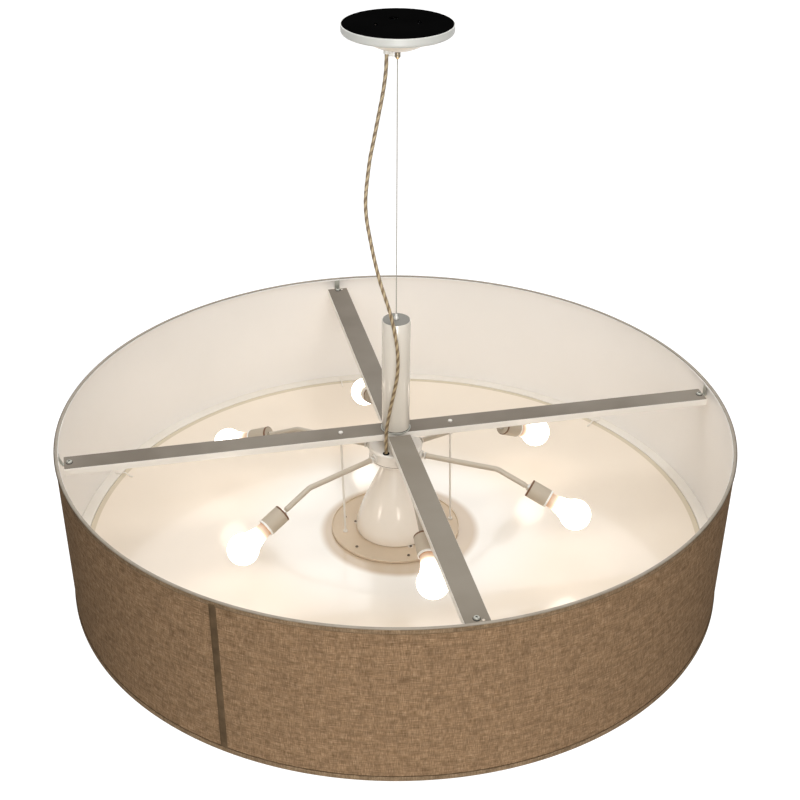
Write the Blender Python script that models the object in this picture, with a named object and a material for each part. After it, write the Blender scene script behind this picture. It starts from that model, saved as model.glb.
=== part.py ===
"""Pendant light: a wide fabric drum shade hung on one steel wire, with six lamps on a central hub.

Metres, +Z up. The origin is the centre of the ceiling face, and the whole lamp hangs below it.
The long bar of the shade's cross lies along X and the two short bars lie along Y.
"""
import math

import bmesh
import bpy
from mathutils import Matrix, Vector

# Clearances
seat_gap = 0.0003          # between faces that touch on the real lamp
cut_overrun = 0.004        # how far a cutter runs past the wall that it cuts

# Ceiling plate and canopy
canopy_radius = 0.0908
canopy_wall = 0.0012
canopy_side = 0.0185       # depth of the pan's straight side with its rounded edge
canopy_edge = 0.0060       # rounding of the pan's lower edge
canopy_depth = 0.0435      # ceiling to the bottom of the dome
dome_reach = 0.0600        # radius where the dome leaves the pan
dome_radius = 0.0865       # of the sphere
plate_thickness = 0.0020
box_screw_spacing = 0.0700  # outlet box screws, centre to centre
box_screw_slot = 0.0150
box_screw_radius = 0.0026
supply_hole_radius = 0.0080
supply_hole_offset = 0.0300
block_size = (0.0300, 0.0160, 0.0140)   # terminal block under the plate

# Wire gripper
gripper_stem_radius = 0.0040
gripper_radius = 0.0042
gripper_collar_radius = 0.0056
gripper_collar = 0.0015
gripper_length = 0.0112    # dome to the end of the barrel
gripper_socket_depth = 0.0075
nose_radius = 0.0031
nose_length = 0.0082
nose_out = 0.0030          # how far the nose stands out of the barrel
nose_play = 0.0003         # between nose and barrel
coupler_radius = 0.0085
coupler_length = 0.0120
thread_engagement = 0.0060

# Suspension wire and power cord
wire_radius = 0.0010
wire_play = 0.0003
cord_radius = 0.00325
cord_step = 0.0160         # spacing of the cord's points
cord_in_grip = 0.0020      # how far the cord's end stands inside the grip
cord_meeting_share = 0.31  # where along its length the cord's two stretches meet
lead_radius = 0.0026       # the lead inside the canopy, without its outer jacket
relief_offset = 0.0311     # canopy's axis to the cord's grip
relief_angle = math.radians(224.2)
relief_radius = 0.0052
relief_top = 0.0300        # ceiling to the top of the cord's grip
relief_foot = 0.0412       # ceiling to its mouth
tongue_top = 0.0401        # the grip's tongue hangs beside the cord
tongue_foot = 0.0460
tongue_offset = 0.0069
tongue_width = 0.0087
tongue_thickness = 0.0030
tongue_angle = math.radians(-12.6)

# Column
column_radius = 0.0254
column_wall = 0.0016
column_length = 0.2185
cap_thickness = 0.0012
cap_spigot = 0.0100
edge_share = 0.3           # softened part of a cap's or nut's height
swivel_radius = 0.0048
swivel_height = 0.0105     # above the cap
swivel_tip_radius = 0.0020
swivel_flange_radius = 0.0095
swivel_flange = 0.0030
swivel_length = 0.0180     # below the cap
flange_radius = 0.0262
flange_thickness = 0.0010
flange_spigot = 0.0120

# Cross bars
suspension_length = 0.7220 # ceiling to the shade's upper edge
bar_drop = 0.0207          # shade's upper edge to the bars' tops
bar_width = 0.0418
bar_height = 0.0127
bar_wall = 0.0015
bar_screw_inset = 0.0090
bar_screw_hole = 0.0052    # radius of the hole at each bar end, over the strap's screw
joint_plate_length = 0.1500
joint_plate_thickness = 0.0030
stem_radius = 0.0050
stem_nut_radius = 0.0090
stem_nut_height = 0.0050

# Shade
shade_top_radius = 0.6096
shade_taper_share = 0.99   # the drum's foot beside its top
bar_end_clearance = 0.0121 # from the shade's outer face to the end of each bar
shade_height = 0.3048
fabric_thickness = 0.0015
liner_thickness = 0.0010
seam_width = 0.0130
seam_lift = 0.0006
ring_wire_radius = 0.0025
ring_inset = 0.0004
weld_depth = 0.0008        # how far a strap runs into the ring's wire
trim_thickness = 0.0007
trim_cover = 0.0050        # width of the trim over the shade's edge
top_trim_leg = 0.0012
bottom_trim_leg = 0.0090
strap_width = 0.0085
strap_thickness = 0.0020
strap_foot = 0.0220
strap_lug = 0.0040         # upright end of a strap beside the ring

# Diffuser
ledge_drop = 0.2394        # shade's upper edge to the ledge
ledge_width = 0.0215
ledge_sheet = 0.0020
ledge_step = 0.0045        # ledge to the seat of the disc
seat_width = 0.0130
disc_thickness = 0.0030
disc_play = 0.0010         # round the disc's edge
disc_below_ledge = 0.0012
clip_wire_radius = 0.0012
clip_foot = 0.0120
clip_rise = 0.0050
clip_reach = 0.0270        # past the ledge's inner edge
clip_shares = (0.33, 0.8)  # where its hump stands and where it comes down
plate_radius = 0.1210
plate_sheet = 0.0016
rod_spacing = 0.2050       # between the two support rods
rod_radius = 0.0020
rod_nut_radius = 0.0042
rod_nut_height = 0.0030

# Hub and cone
hub_drop = 0.0550          # shade's upper edge to the hub's lid
hub_radius = 0.0485
hub_height = 0.0295
hub_wall = 0.0015
hub_edge = 0.0050
lid_overhang = 0.0018
lid_lip = 0.0060
lid_edge = 0.0015
grommet_offset = 0.0412    # hub's axis to the grommet
grommet_angle = math.radians(232.8)
grommet_radius = 0.0062
grommet_waist_radius = 0.0048
grommet_flange = 0.0014
cone_top_radius = 0.0185
cone_base_radius = 0.0705
cone_shoulder_radius = 0.0730
cone_shoulder_height = 0.0135
cone_swell = 0.0220        # how far the side keeps its shoulder's direction
cone_lean = 0.0315         # how far the side stands out from its top where it straightens
cone_lean_drop = 0.0700
cone_wall = 0.0015
cone_ear_reach = 0.0090
cone_ear_width = 0.0100

# Lamp arms, sockets and bulbs
arm_drop = 0.0690          # shade's upper edge to the arms' roots
arm_radius = 0.0050
arm_run = 0.1484           # hub wall to the bend
arm_bend_radius = 0.0200
arm_after_bend = 0.0575
arm_inside_hub = 0.0060
arm_bend = math.radians(23.7)
nipple_radius = 0.0040
nipple_length = 0.0075
nipple_nut_radius = 0.0070
nipple_nut_height = 0.0035
socket_radius = 0.0165
socket_length = 0.0416
socket_bevel = 0.0010
socket_bore_depth = 0.0300
bulb_base_radius = 0.0131
bulb_base_length = 0.0250
bulb_base_taper = 0.0060   # height of the insulated end
bulb_tip_radius = 0.0040
bulb_tip_height = 0.0012
bulb_radius = 0.0280
bulb_reach = 0.0538        # socket's mouth to the middle of the globe

# Each arm's plan angle and droop, set by hand on the real lamp: a sixth of a turn apart, nearly.
arm_settings = (
    (math.radians(22.9), math.radians(2.8)),
    (math.radians(88.4), math.radians(0.7)),
    (math.radians(147.4), math.radians(-0.8)),
    (math.radians(207.0), math.radians(1.2)),
    (math.radians(268.1), math.radians(-3.3)),
    (math.radians(327.2), math.radians(-0.7)),
)
clip_angles = [math.radians(30.0 + 60.0 * turn) for turn in range(6)]
cone_ear_angles = [math.radians(40.0 + 120.0 * turn) for turn in range(3)]
bar_end_angles = [math.radians(90.0 * turn) for turn in range(4)]
seam_angle = math.radians(231.2)

# How round the pieces are
big_steps = 56
canopy_steps = 36
dome_steps = 5
bend_steps = 4
cone_side_steps = 5
neck_steps = 4
globe_steps = 7
hub_steps = 28
column_steps = 24
socket_steps = 14
small_steps = 10
screw_steps = 8

# The power cord hangs beside the wire, bows out to one side, passes in front of the column and
# goes into the hub. These points are its route, chosen by eye, between the grip and the grommet.
cord_route = (
    (-0.0239, -0.0225, -0.0707),
    (-0.0288, -0.0226, -0.1057),
    (-0.0360, -0.0222, -0.1432),
    (-0.0434, -0.0217, -0.1815),
    (-0.0498, -0.0215, -0.2136),
    (-0.0543, -0.0216, -0.2464),
    (-0.0571, -0.0221, -0.2727),
    (-0.0578, -0.0219, -0.2951),
    (-0.0559, -0.0223, -0.3224),
    (-0.0508, -0.0235, -0.3547),
    (-0.0438, -0.0251, -0.3929),
    (-0.0349, -0.0272, -0.4327),
    (-0.0250, -0.0296, -0.4674),
    (-0.0170, -0.0316, -0.4965),
    (-0.0106, -0.0333, -0.5289),
    (-0.0060, -0.0343, -0.5588),
    (-0.0042, -0.0347, -0.5894),
    (-0.0058, -0.0344, -0.6201),
    (-0.0115, -0.0335, -0.6541),
    (-0.0183, -0.0327, -0.6884),
    (-0.0237, -0.0322, -0.7233),
    (-0.0250, -0.0326, -0.7480),
)

# Heights that several pieces share
dome_z = -canopy_depth
barrel_end_z = dome_z - gripper_length
nose_end_z = barrel_end_z - nose_out
shade_top_z = -suspension_length
shade_bottom_z = shade_top_z - shade_height
shade_bottom_radius = shade_top_radius * shade_taper_share
bar_reach = shade_top_radius - bar_end_clearance
bar_top_z = shade_top_z - bar_drop
bar_bottom_z = bar_top_z - bar_height
flange_top_z = bar_top_z + seat_gap + flange_thickness
column_bottom_z = flange_top_z + seat_gap
column_top_z = column_bottom_z + column_length
cap_top_z = column_top_z + seat_gap + cap_thickness
joint_plate_top_z = bar_bottom_z - seat_gap
joint_plate_bottom_z = joint_plate_top_z - joint_plate_thickness
hub_top_z = shade_top_z - hub_drop
hub_bottom_z = hub_top_z - hub_height
arm_z = shade_top_z - arm_drop
ledge_z = shade_top_z - ledge_drop
seat_z = ledge_z - ledge_step
disc_bottom_z = seat_z + seat_gap
disc_top_z = disc_bottom_z + disc_thickness
plate_bottom_z = disc_top_z + seat_gap
plate_top_z = plate_bottom_z + plate_sheet
cone_bottom_z = plate_top_z + seat_gap
cone_top_z = hub_bottom_z - seat_gap


def shade_radius(z):
    """Outer radius of the fabric at a height: the drum narrows a little towards its foot."""
    share = (shade_top_z - z) / shade_height
    return shade_top_radius + (shade_bottom_radius - shade_top_radius) * share


def liner_inner_radius(z):
    """Inner radius of the liner at a height."""
    return shade_radius(z) - fabric_thickness - seat_gap - liner_thickness


def clear_scene():
    """Empty the scene of its objects."""
    for item in list(bpy.data.objects):
        bpy.data.objects.remove(item, do_unlink=True)


def finish_material(name, colour, roughness, metallic=0.0):
    """A Principled material with one colour."""
    material = bpy.data.materials.new(name)
    material.use_nodes = True
    shader = material.node_tree.nodes["Principled BSDF"]
    shader.inputs["Base Color"].default_value = (*colour, 1.0)
    shader.inputs["Roughness"].default_value = roughness
    shader.inputs["Metallic"].default_value = metallic
    material.diffuse_color = (*colour, 1.0)
    return material


def place(item, material, parent=None):
    """Link an object into the scene with its material and its parent."""
    bpy.context.collection.objects.link(item)
    item.data.materials.append(material)
    if parent is not None:
        item.parent = parent
    return item


def body_from(name, shape, material, parent=None, sharp=math.radians(35.0)):
    """Turn a bmesh into a smooth-shaded object whose faces point out."""
    bmesh.ops.recalc_face_normals(shape, faces=shape.faces)
    mesh = bpy.data.meshes.new(name)
    shape.to_mesh(mesh)
    shape.free()
    mesh.shade_smooth()
    mesh.set_sharp_from_angle(angle=sharp)
    return place(bpy.data.objects.new(name, mesh), material, parent)


def spin_outline(shape, outline, steps, centre=(0.0, 0.0), start=0.0):
    """Revolve a closed outline of (radius, height) points about an upright axis."""
    corners = [shape.verts.new((r, 0.0, z)) for r, z in outline]
    edges = [shape.edges.new((corners[i], corners[(i + 1) % len(corners)])) for i in range(len(corners))]
    bmesh.ops.spin(shape, geom=corners + edges, cent=(0.0, 0.0, 0.0), axis=(0.0, 0.0, 1.0),
                          angle=2.0 * math.pi, steps=steps, use_merge=True)
    on_axis = [corner for corner in shape.verts if corner.is_valid]
    bmesh.ops.remove_doubles(shape, verts=on_axis, dist=0.000001)
    loose = [edge for edge in shape.edges if not edge.link_faces]
    bmesh.ops.delete(shape, geom=loose, context="EDGES")
    turn = Matrix.Rotation(start, 4, "Z")
    shift = Matrix.Translation((centre[0], centre[1], 0.0))
    bmesh.ops.transform(shape, matrix=shift @ turn, verts=shape.verts)


def turned(name, outline, steps, material, parent=None, centre=(0.0, 0.0), start=0.0):
    """One turned body."""
    shape = bmesh.new()
    spin_outline(shape, outline, steps, centre, start)
    return body_from(name, shape, material, parent)


def join_shapes(parts):
    """Gather separate bmeshes into one, as separate bodies."""
    whole = bmesh.new()
    for part in parts:
        mesh = bpy.data.meshes.new("part")
        bmesh.ops.recalc_face_normals(part, faces=part.faces)
        part.to_mesh(mesh)
        part.free()
        whole.from_mesh(mesh)
        bpy.data.meshes.remove(mesh)
    return whole


def prism(outline, low, high, axis="Z"):
    """Extrude a closed outline of pairs along one axis."""
    shape = bmesh.new()
    if axis == "Z":
        corners = [shape.verts.new((a, b, low)) for a, b in outline]
        along = Vector((0.0, 0.0, high - low))
    elif axis == "X":
        corners = [shape.verts.new((low, a, b)) for a, b in outline]
        along = Vector((high - low, 0.0, 0.0))
    else:
        corners = [shape.verts.new((a, low, b)) for a, b in outline]
        along = Vector((0.0, high - low, 0.0))
    face = shape.faces.new(corners)
    raised = bmesh.ops.extrude_face_region(shape, geom=[face])
    moved = [item for item in raised["geom"] if isinstance(item, bmesh.types.BMVert)]
    bmesh.ops.translate(shape, verts=moved, vec=along)
    return shape


def moved(shape, matrix):
    """Move a bmesh and hand it back."""
    bmesh.ops.transform(shape, matrix=matrix, verts=shape.verts)
    return shape


def circle_points(radius, steps, centre=(0.0, 0.0), start=0.0):
    """Points on a circle."""
    return [(centre[0] + radius * math.cos(start + 2.0 * math.pi * i / steps),
             centre[1] + radius * math.sin(start + 2.0 * math.pi * i / steps)) for i in range(steps)]


def arc_points(centre, radius, first, last, steps):
    """Points along an arc, ends included; angles in degrees."""
    points = []
    for i in range(steps + 1):
        angle = math.radians(first + (last - first) * i / steps)
        points.append((centre[0] + radius * math.cos(angle), centre[1] + radius * math.sin(angle)))
    return points


def polar(radius, angle):
    """A plan position from a radius and an angle."""
    return (radius * math.cos(angle), radius * math.sin(angle))


def join_by_union(target, shape, name):
    """Join a second shape to an object with a Boolean; the second shape stays hidden."""
    extra = body_from(name, shape, cutter_grey)
    extra.hide_render = True
    extra.display_type = "WIRE"
    modifier = target.modifiers.new(name, "BOOLEAN")
    modifier.operation = "UNION"
    modifier.solver = "EXACT"
    modifier.object = extra


def cut(target, shapes, name):
    """Cut bmeshes out of an object with one Boolean; the cutter stays hidden."""
    cutter = body_from(name, join_shapes(shapes), cutter_grey)
    cutter.hide_render = True
    cutter.display_type = "WIRE"
    if target.parent is not None:
        cutter.parent = target.parent
    modifier = target.modifiers.new(name, "BOOLEAN")
    modifier.operation = "DIFFERENCE"
    modifier.solver = "EXACT"
    modifier.object = cutter
    return cutter


def hole(radius, centre, low, high, steps=screw_steps, start=0.0):
    """A round upright cutter."""
    return prism(circle_points(radius, steps, centre, start), low, high)


def ribbon(points, thickness):
    """Closed outline of a bent strip that follows a centre line, with mitred corners."""
    half = thickness / 2.0
    left, right = [], []
    for i, point in enumerate(points):
        here = Vector(point)
        before = (here - Vector(points[i - 1])).normalized() if i > 0 else None
        after = (Vector(points[i + 1]) - here).normalized() if i < len(points) - 1 else None
        along = before if after is None else after if before is None else (before + after).normalized()
        side = Vector((-along.y, along.x))
        reference = before if before is not None else after
        stretch = half / max(0.3, abs(side.dot(Vector((-reference.y, reference.x)))))
        left.append(tuple(here + side * stretch))
        right.append(tuple(here - side * stretch))
    return left + right[::-1]


def smooth_route(points, step):
    """Evenly spaced points on a smooth curve through a route (a Catmull-Rom spline)."""
    knots = [Vector(p) for p in points]
    ends = [knots[0] * 2.0 - knots[1]] + knots + [knots[-1] * 2.0 - knots[-2]]
    fine = []
    pieces = 12
    for i in range(1, len(ends) - 2):
        a, b, c, d = ends[i - 1], ends[i], ends[i + 1], ends[i + 2]
        for k in range(pieces):
            t = k / pieces
            fine.append(0.5 * (2.0 * b + (c - a) * t + (2.0 * a - 5.0 * b + 4.0 * c - d) * t * t
                               + (3.0 * b - a - 3.0 * c + d) * t * t * t))
    fine.append(knots[-1])
    lengths = [0.0]
    for a, b in zip(fine, fine[1:]):
        lengths.append(lengths[-1] + (b - a).length)
    count = max(2, round(lengths[-1] / step))
    even = []
    k = 0
    for i in range(count + 1):
        want = lengths[-1] * i / count
        while k < len(fine) - 2 and lengths[k + 1] < want:
            k += 1
        span = lengths[k + 1] - lengths[k]
        even.append(fine[k].lerp(fine[k + 1], (want - lengths[k]) / span))
    return even


def tube(name, points, radius, resolution, material, parent=None):
    """A round tube along points: a bevelled curve with filled caps."""
    curve = bpy.data.curves.new(name, "CURVE")
    curve.dimensions = "3D"
    curve.bevel_depth = radius
    curve.bevel_resolution = resolution
    curve.use_fill_caps = True
    spline = curve.splines.new("POLY")
    spline.points.add(len(points) - 1)
    for slot, point in zip(spline.points, points):
        slot.co = (*point, 1.0)
    return place(bpy.data.objects.new(name, curve), material, parent)


def make_ceiling_plate():
    """Black steel plate that closes the canopy's top and is screwed to the outlet box."""
    radius = canopy_radius - canopy_wall - seat_gap
    plate = turned("mounting_plate", [(0.0, 0.0), (0.0, -plate_thickness), (radius, -plate_thickness),
                                      (radius, 0.0)], canopy_steps, black_steel)
    cutters = []
    for side in (-1.0, 1.0):
        x = side * box_screw_spacing / 2.0
        half = box_screw_slot / 2.0 - box_screw_radius
        upper = arc_points((x, half), box_screw_radius, 0.0, 180.0, 4)
        lower = arc_points((x, -half), box_screw_radius, 180.0, 360.0, 4)
        cutters.append(prism(upper + lower, -plate_thickness - cut_overrun, cut_overrun))
    cutters.append(hole(supply_hole_radius, (0.0, supply_hole_offset), -plate_thickness - cut_overrun,
                        cut_overrun, 12))
    cut(plate, cutters, "mounting_plate_cutter")

    low = -plate_thickness - seat_gap
    foot = low - coupler_length
    coupler = body_from("hanging_coupler", prism(circle_points(coupler_radius, 6), foot, low), steel)
    cut(coupler, [hole(gripper_stem_radius + seat_gap, (0.0, 0.0), foot - cut_overrun,
                       foot + thread_engagement, small_steps)], "hanging_coupler_cutter")

    x, y = polar(relief_offset, relief_angle)
    length, width, height = block_size
    outline = [(x - length / 2.0, y - width / 2.0), (x + length / 2.0, y - width / 2.0),
               (x + length / 2.0, y + width / 2.0), (x - length / 2.0, y + width / 2.0)]
    shift = coupler_radius + seat_gap + width / 2.0
    outline = [(a, b - y - shift) for a, b in outline]
    body_from("terminal_block", prism(outline, low - height, low), black_plastic)


def make_canopy():
    """White spun pan with a shallow dome, holed for the gripper's stem and the cord's grip."""
    rim = -seat_gap
    edge_centre = (canopy_radius - canopy_edge, -canopy_side + canopy_edge)
    hole_radius = gripper_stem_radius + seat_gap
    outline = [(canopy_radius, rim)]
    outline += arc_points(edge_centre, canopy_edge, 0.0, -90.0, 4)
    outline += dome_points(dome_radius, dome_reach, hole_radius)
    outline += dome_points(dome_radius - canopy_wall, dome_reach - canopy_wall, hole_radius)[::-1]
    outline += arc_points(edge_centre, canopy_edge - canopy_wall, -90.0, 0.0, 4)
    outline += [(canopy_radius - canopy_wall, rim)]
    pan = turned("canopy_pan", outline, canopy_steps, white_paint)
    cut(pan, [hole(relief_radius + seat_gap, polar(relief_offset, relief_angle), dome_z - cut_overrun,
                   -canopy_side, 12)], "canopy_pan_cutter")


def dome_points(radius, reach, hole_radius):
    """Profile of one face of the dome, from the pan's floor in to the centre hole."""
    points = []
    for i in range(dome_steps + 1):
        r = reach + (hole_radius - reach) * i / dome_steps
        points.append((r, dome_z + dome_radius - math.sqrt(radius ** 2 - r ** 2)))
    return points


def make_gripper():
    """Wire gripper: a nickel barrel with a stem through the canopy and a sprung nose."""
    stem_top = -plate_thickness - seat_gap - coupler_length + thread_engagement - seat_gap
    collar_top = dome_z - seat_gap
    bore = nose_radius + nose_play
    outline = [(0.0, stem_top), (gripper_stem_radius, stem_top), (gripper_stem_radius, collar_top),
               (gripper_collar_radius, collar_top), (gripper_collar_radius, collar_top - gripper_collar),
               (gripper_radius, collar_top - gripper_collar), (gripper_radius, barrel_end_z),
               (bore, barrel_end_z), (bore, barrel_end_z + gripper_socket_depth),
               (0.0, barrel_end_z + gripper_socket_depth)]
    turned("gripper_body", outline, small_steps, nickel)
    nose_top = nose_end_z + nose_length
    wire_bore = wire_radius + wire_play
    turned("gripper_nose", [(wire_bore, nose_top), (nose_radius, nose_top),
                            (nose_radius, nose_end_z + wire_bore), (nose_radius - wire_bore, nose_end_z),
                            (wire_bore, nose_end_z)], small_steps, brass)


def make_cord_grip():
    """White nylon grip where the cord leaves the canopy, and the lead inside the canopy."""
    centre = polar(relief_offset, relief_angle)
    bore = cord_radius + seat_gap
    grip = turned("strain_relief", [(0.0, -relief_foot), (relief_radius, -relief_foot),
                                    (relief_radius, -relief_top), (0.0, -relief_top)], 12, white_nylon,
                  centre=centre)
    half_width, half_thickness = tongue_width / 2.0, tongue_thickness / 2.0
    outline = [(tongue_offset - half_width, -half_thickness), (tongue_offset + half_width, -half_thickness),
               (tongue_offset + half_width, half_thickness), (tongue_offset - half_width, half_thickness)]
    tongue = moved(prism(outline, -tongue_foot, -tongue_top),
                   Matrix.Translation((*centre, 0.0)) @ Matrix.Rotation(tongue_angle, 4, "Z"))
    join_by_union(grip, tongue, "strain_relief_tongue")
    cut(grip, [hole(bore, centre, -tongue_foot - cut_overrun, -relief_top + cut_overrun, 12)],
        "strain_relief_cutter")

    start = Vector((*centre, cord_in_grip - relief_foot + seat_gap))
    above = Vector((*centre, -relief_top + cord_radius))
    block_y = -(coupler_radius + seat_gap + block_size[1] / 2.0)
    end = Vector((centre[0], block_y, -plate_thickness - block_size[2] - 2.0 * seat_gap))
    below = end - Vector((0.0, 0.0, 2.0 * lead_radius))
    tube("canopy_lead", [start, above, below, end], lead_radius, 2, clear_cord)


def make_wire():
    """Steel wire from the gripper to the swivel in the column's cap."""
    low = cap_top_z - swivel_length + wire_radius
    high = nose_end_z - seat_gap
    tube("suspension_wire", [Vector((0.0, 0.0, high)), Vector((0.0, 0.0, (high + low) / 2.0)),
                             Vector((0.0, 0.0, low))], wire_radius, 2, steel)
    bore = wire_radius + wire_play
    top = cap_top_z + swivel_height
    flange_top = cap_top_z - cap_thickness - seat_gap
    outline = [(bore, top), (swivel_tip_radius, top), (swivel_radius, cap_top_z + seat_gap),
               (swivel_radius, flange_top), (swivel_flange_radius, flange_top),
               (swivel_flange_radius, flange_top - swivel_flange), (swivel_radius, flange_top - swivel_flange),
               (swivel_radius, cap_top_z - swivel_length), (0.0, cap_top_z - swivel_length),
               (0.0, low - seat_gap), (bore, low - seat_gap)]
    turned("wire_swivel", outline, 14, steel)


def make_cord():
    """The free cord, from the grip to the grommet, in two stretches that meet beside the wire."""
    start = (*polar(relief_offset, relief_angle), cord_in_grip - relief_foot)
    end = (*polar(grommet_offset, grommet_angle), hub_top_z + grommet_flange)
    points = smooth_route([start, *cord_route, end], cord_step)
    meeting = round(cord_meeting_share * (len(points) - 1))
    upper, lower = points[:meeting + 1], points[meeting:]
    lower[0] = lower[0] + (lower[1] - lower[0]).normalized() * seat_gap
    tube("power_cord_upper", upper, cord_radius, 2, clear_cord)
    tube("power_cord_lower", lower, cord_radius, 2, clear_cord)


def make_column():
    """White tube with a thin grey cap on top and a black plug and seat ring at its foot."""
    inner = column_radius - column_wall
    turned("column_tube", [(column_radius, column_bottom_z), (column_radius, column_top_z),
                           (inner, column_top_z), (inner, column_bottom_z)], column_steps, white_paint)
    spigot = inner - seat_gap
    spigot_inner = spigot - column_wall
    low = column_top_z + seat_gap
    ease = cap_thickness * edge_share
    turned("column_cap",
           [(swivel_radius + seat_gap, cap_top_z), (column_radius - ease, cap_top_z),
            (column_radius, cap_top_z - ease), (column_radius, low), (spigot, low),
            (spigot, low - cap_spigot), (spigot_inner, low - cap_spigot), (spigot_inner, low),
            (swivel_radius + seat_gap, low)], column_steps, satin_grey)
    foot = bar_top_z + seat_gap
    bore = stem_radius + seat_gap
    turned("column_flange",
           [(flange_radius, foot), (flange_radius, flange_top_z), (spigot, flange_top_z),
            (spigot, flange_top_z + flange_spigot), (bore, flange_top_z + flange_spigot), (bore, foot)],
           column_steps, black_plastic)


def channel_outline():
    """Cross-section of a bar: a channel that is open below."""
    half = bar_width / 2.0
    return [(-half, bar_bottom_z), (-half, bar_top_z), (half, bar_top_z), (half, bar_bottom_z),
            (half - bar_wall, bar_bottom_z), (half - bar_wall, bar_top_z - bar_wall),
            (-half + bar_wall, bar_top_z - bar_wall), (-half + bar_wall, bar_bottom_z)]


def make_bars():
    """One long bar and two short bars that butt against it, all folded channels."""
    low = bar_top_z - bar_wall - cut_overrun
    high = bar_top_z + cut_overrun
    long_bar = body_from("long_bar", prism(channel_outline(), -bar_reach, bar_reach, "X"), satin_grey)
    cutters = [hole(stem_radius + seat_gap, (0.0, 0.0), low, high, small_steps)]
    screw_r = bar_reach - bar_screw_inset
    for side in (-1.0, 1.0):
        cutters.append(hole(rod_radius + seat_gap, (side * rod_spacing / 2.0, 0.0), low, high))
        cutters.append(hole(bar_screw_hole, (side * screw_r, 0.0), low, high))
    cut(long_bar, cutters, "long_bar_cutter")
    inner_end = bar_width / 2.0 + seat_gap
    for name, side in (("cross_bar_back", 1.0), ("cross_bar_front", -1.0)):
        ends = sorted((side * inner_end, side * bar_reach))
        bar = body_from(name, prism(channel_outline(), ends[0], ends[1], "Y"), satin_grey)
        cut(bar, [hole(bar_screw_hole, (0.0, side * screw_r), low, high)], name + "_cutter")

    half = bar_width / 2.0 - bar_wall
    plate = body_from("joint_plate", prism([(-half, -joint_plate_length / 2.0), (half, -joint_plate_length / 2.0),
                                            (half, joint_plate_length / 2.0), (-half, joint_plate_length / 2.0)],
                                           joint_plate_bottom_z, joint_plate_top_z), steel)
    cut(plate, [hole(stem_radius + seat_gap, (0.0, 0.0), joint_plate_bottom_z - cut_overrun,
                     joint_plate_top_z + cut_overrun, small_steps)], "joint_plate_cutter")


def make_stem():
    """Bolt that ties the column, the bars and the hub together, and the nut under the bars."""
    top = flange_top_z + flange_spigot - seat_gap
    head_top = hub_bottom_z - seat_gap
    head_low = head_top - stem_nut_height
    turned("hub_stem", [(0.0, head_low), (stem_nut_radius, head_low), (stem_nut_radius, head_top),
                        (stem_radius, head_top), (stem_radius, top), (0.0, top)], 12, steel)
    high = joint_plate_bottom_z - seat_gap
    low = high - stem_nut_height
    nut = body_from("stem_nut", prism(circle_points(stem_nut_radius, 6), low, high), steel)
    cut(nut, [hole(stem_radius + seat_gap, (0.0, 0.0), low - cut_overrun, high + cut_overrun, small_steps)],
        "stem_nut_cutter")


def make_hub():
    """White hub: a cup for the wiring, a lid over it, and a rubber grommet for the cord."""
    bore = stem_radius + seat_gap
    lid_bottom = hub_top_z - hub_wall
    body_top = lid_bottom - seat_gap
    inner = hub_radius - hub_wall
    outline = [(hub_radius, body_top)]
    outline += arc_points((hub_radius - hub_edge, hub_bottom_z + hub_edge), hub_edge, 0.0, -90.0, 3)
    outline += [(bore, hub_bottom_z), (bore, hub_bottom_z + hub_wall)]
    outline += [(inner - hub_edge / 2.0, hub_bottom_z + hub_wall), (inner, hub_bottom_z + hub_edge),
                (inner, body_top)]
    body = turned("hub_body", outline, hub_steps, white_paint)
    arm_hole_shapes = []
    for plan, droop in arm_settings:
        shape = prism(circle_points(arm_radius + seat_gap, small_steps), -arm_inside_hub - cut_overrun,
                      cut_overrun)
        matrix = arm_matrix(plan, droop) @ Matrix.Rotation(math.radians(90.0), 4, "Y")
        arm_hole_shapes.append(moved(shape, matrix))
    cut(body, arm_hole_shapes, "hub_body_cutter")

    lid_radius = hub_radius + lid_overhang
    lip_inner = hub_radius + seat_gap
    lid = turned("hub_lid", [(bore, hub_top_z), (lid_radius - lid_edge, hub_top_z),
                             (lid_radius, hub_top_z - lid_edge), (lid_radius, hub_top_z - lid_lip),
                             (lip_inner, hub_top_z - lid_lip), (lip_inner, lid_bottom), (bore, lid_bottom)],
                 hub_steps, white_paint)
    spot = polar(grommet_offset, grommet_angle)
    cut(lid, [hole(grommet_waist_radius + seat_gap, spot, lid_bottom - cut_overrun,
                   hub_top_z + cut_overrun, 12)], "hub_lid_cutter")
    cord_bore = cord_radius + seat_gap
    top = hub_top_z + seat_gap
    low = lid_bottom - seat_gap
    lower_lip = grommet_waist_radius + seat_gap + seat_gap
    turned("hub_grommet", [(cord_bore, top + grommet_flange), (grommet_radius, top + grommet_flange),
                           (grommet_radius, top), (grommet_waist_radius, top), (grommet_waist_radius, low),
                           (lower_lip, low - grommet_flange), (cord_bore, low - grommet_flange)],
           12, black_rubber, centre=spot)


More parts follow.
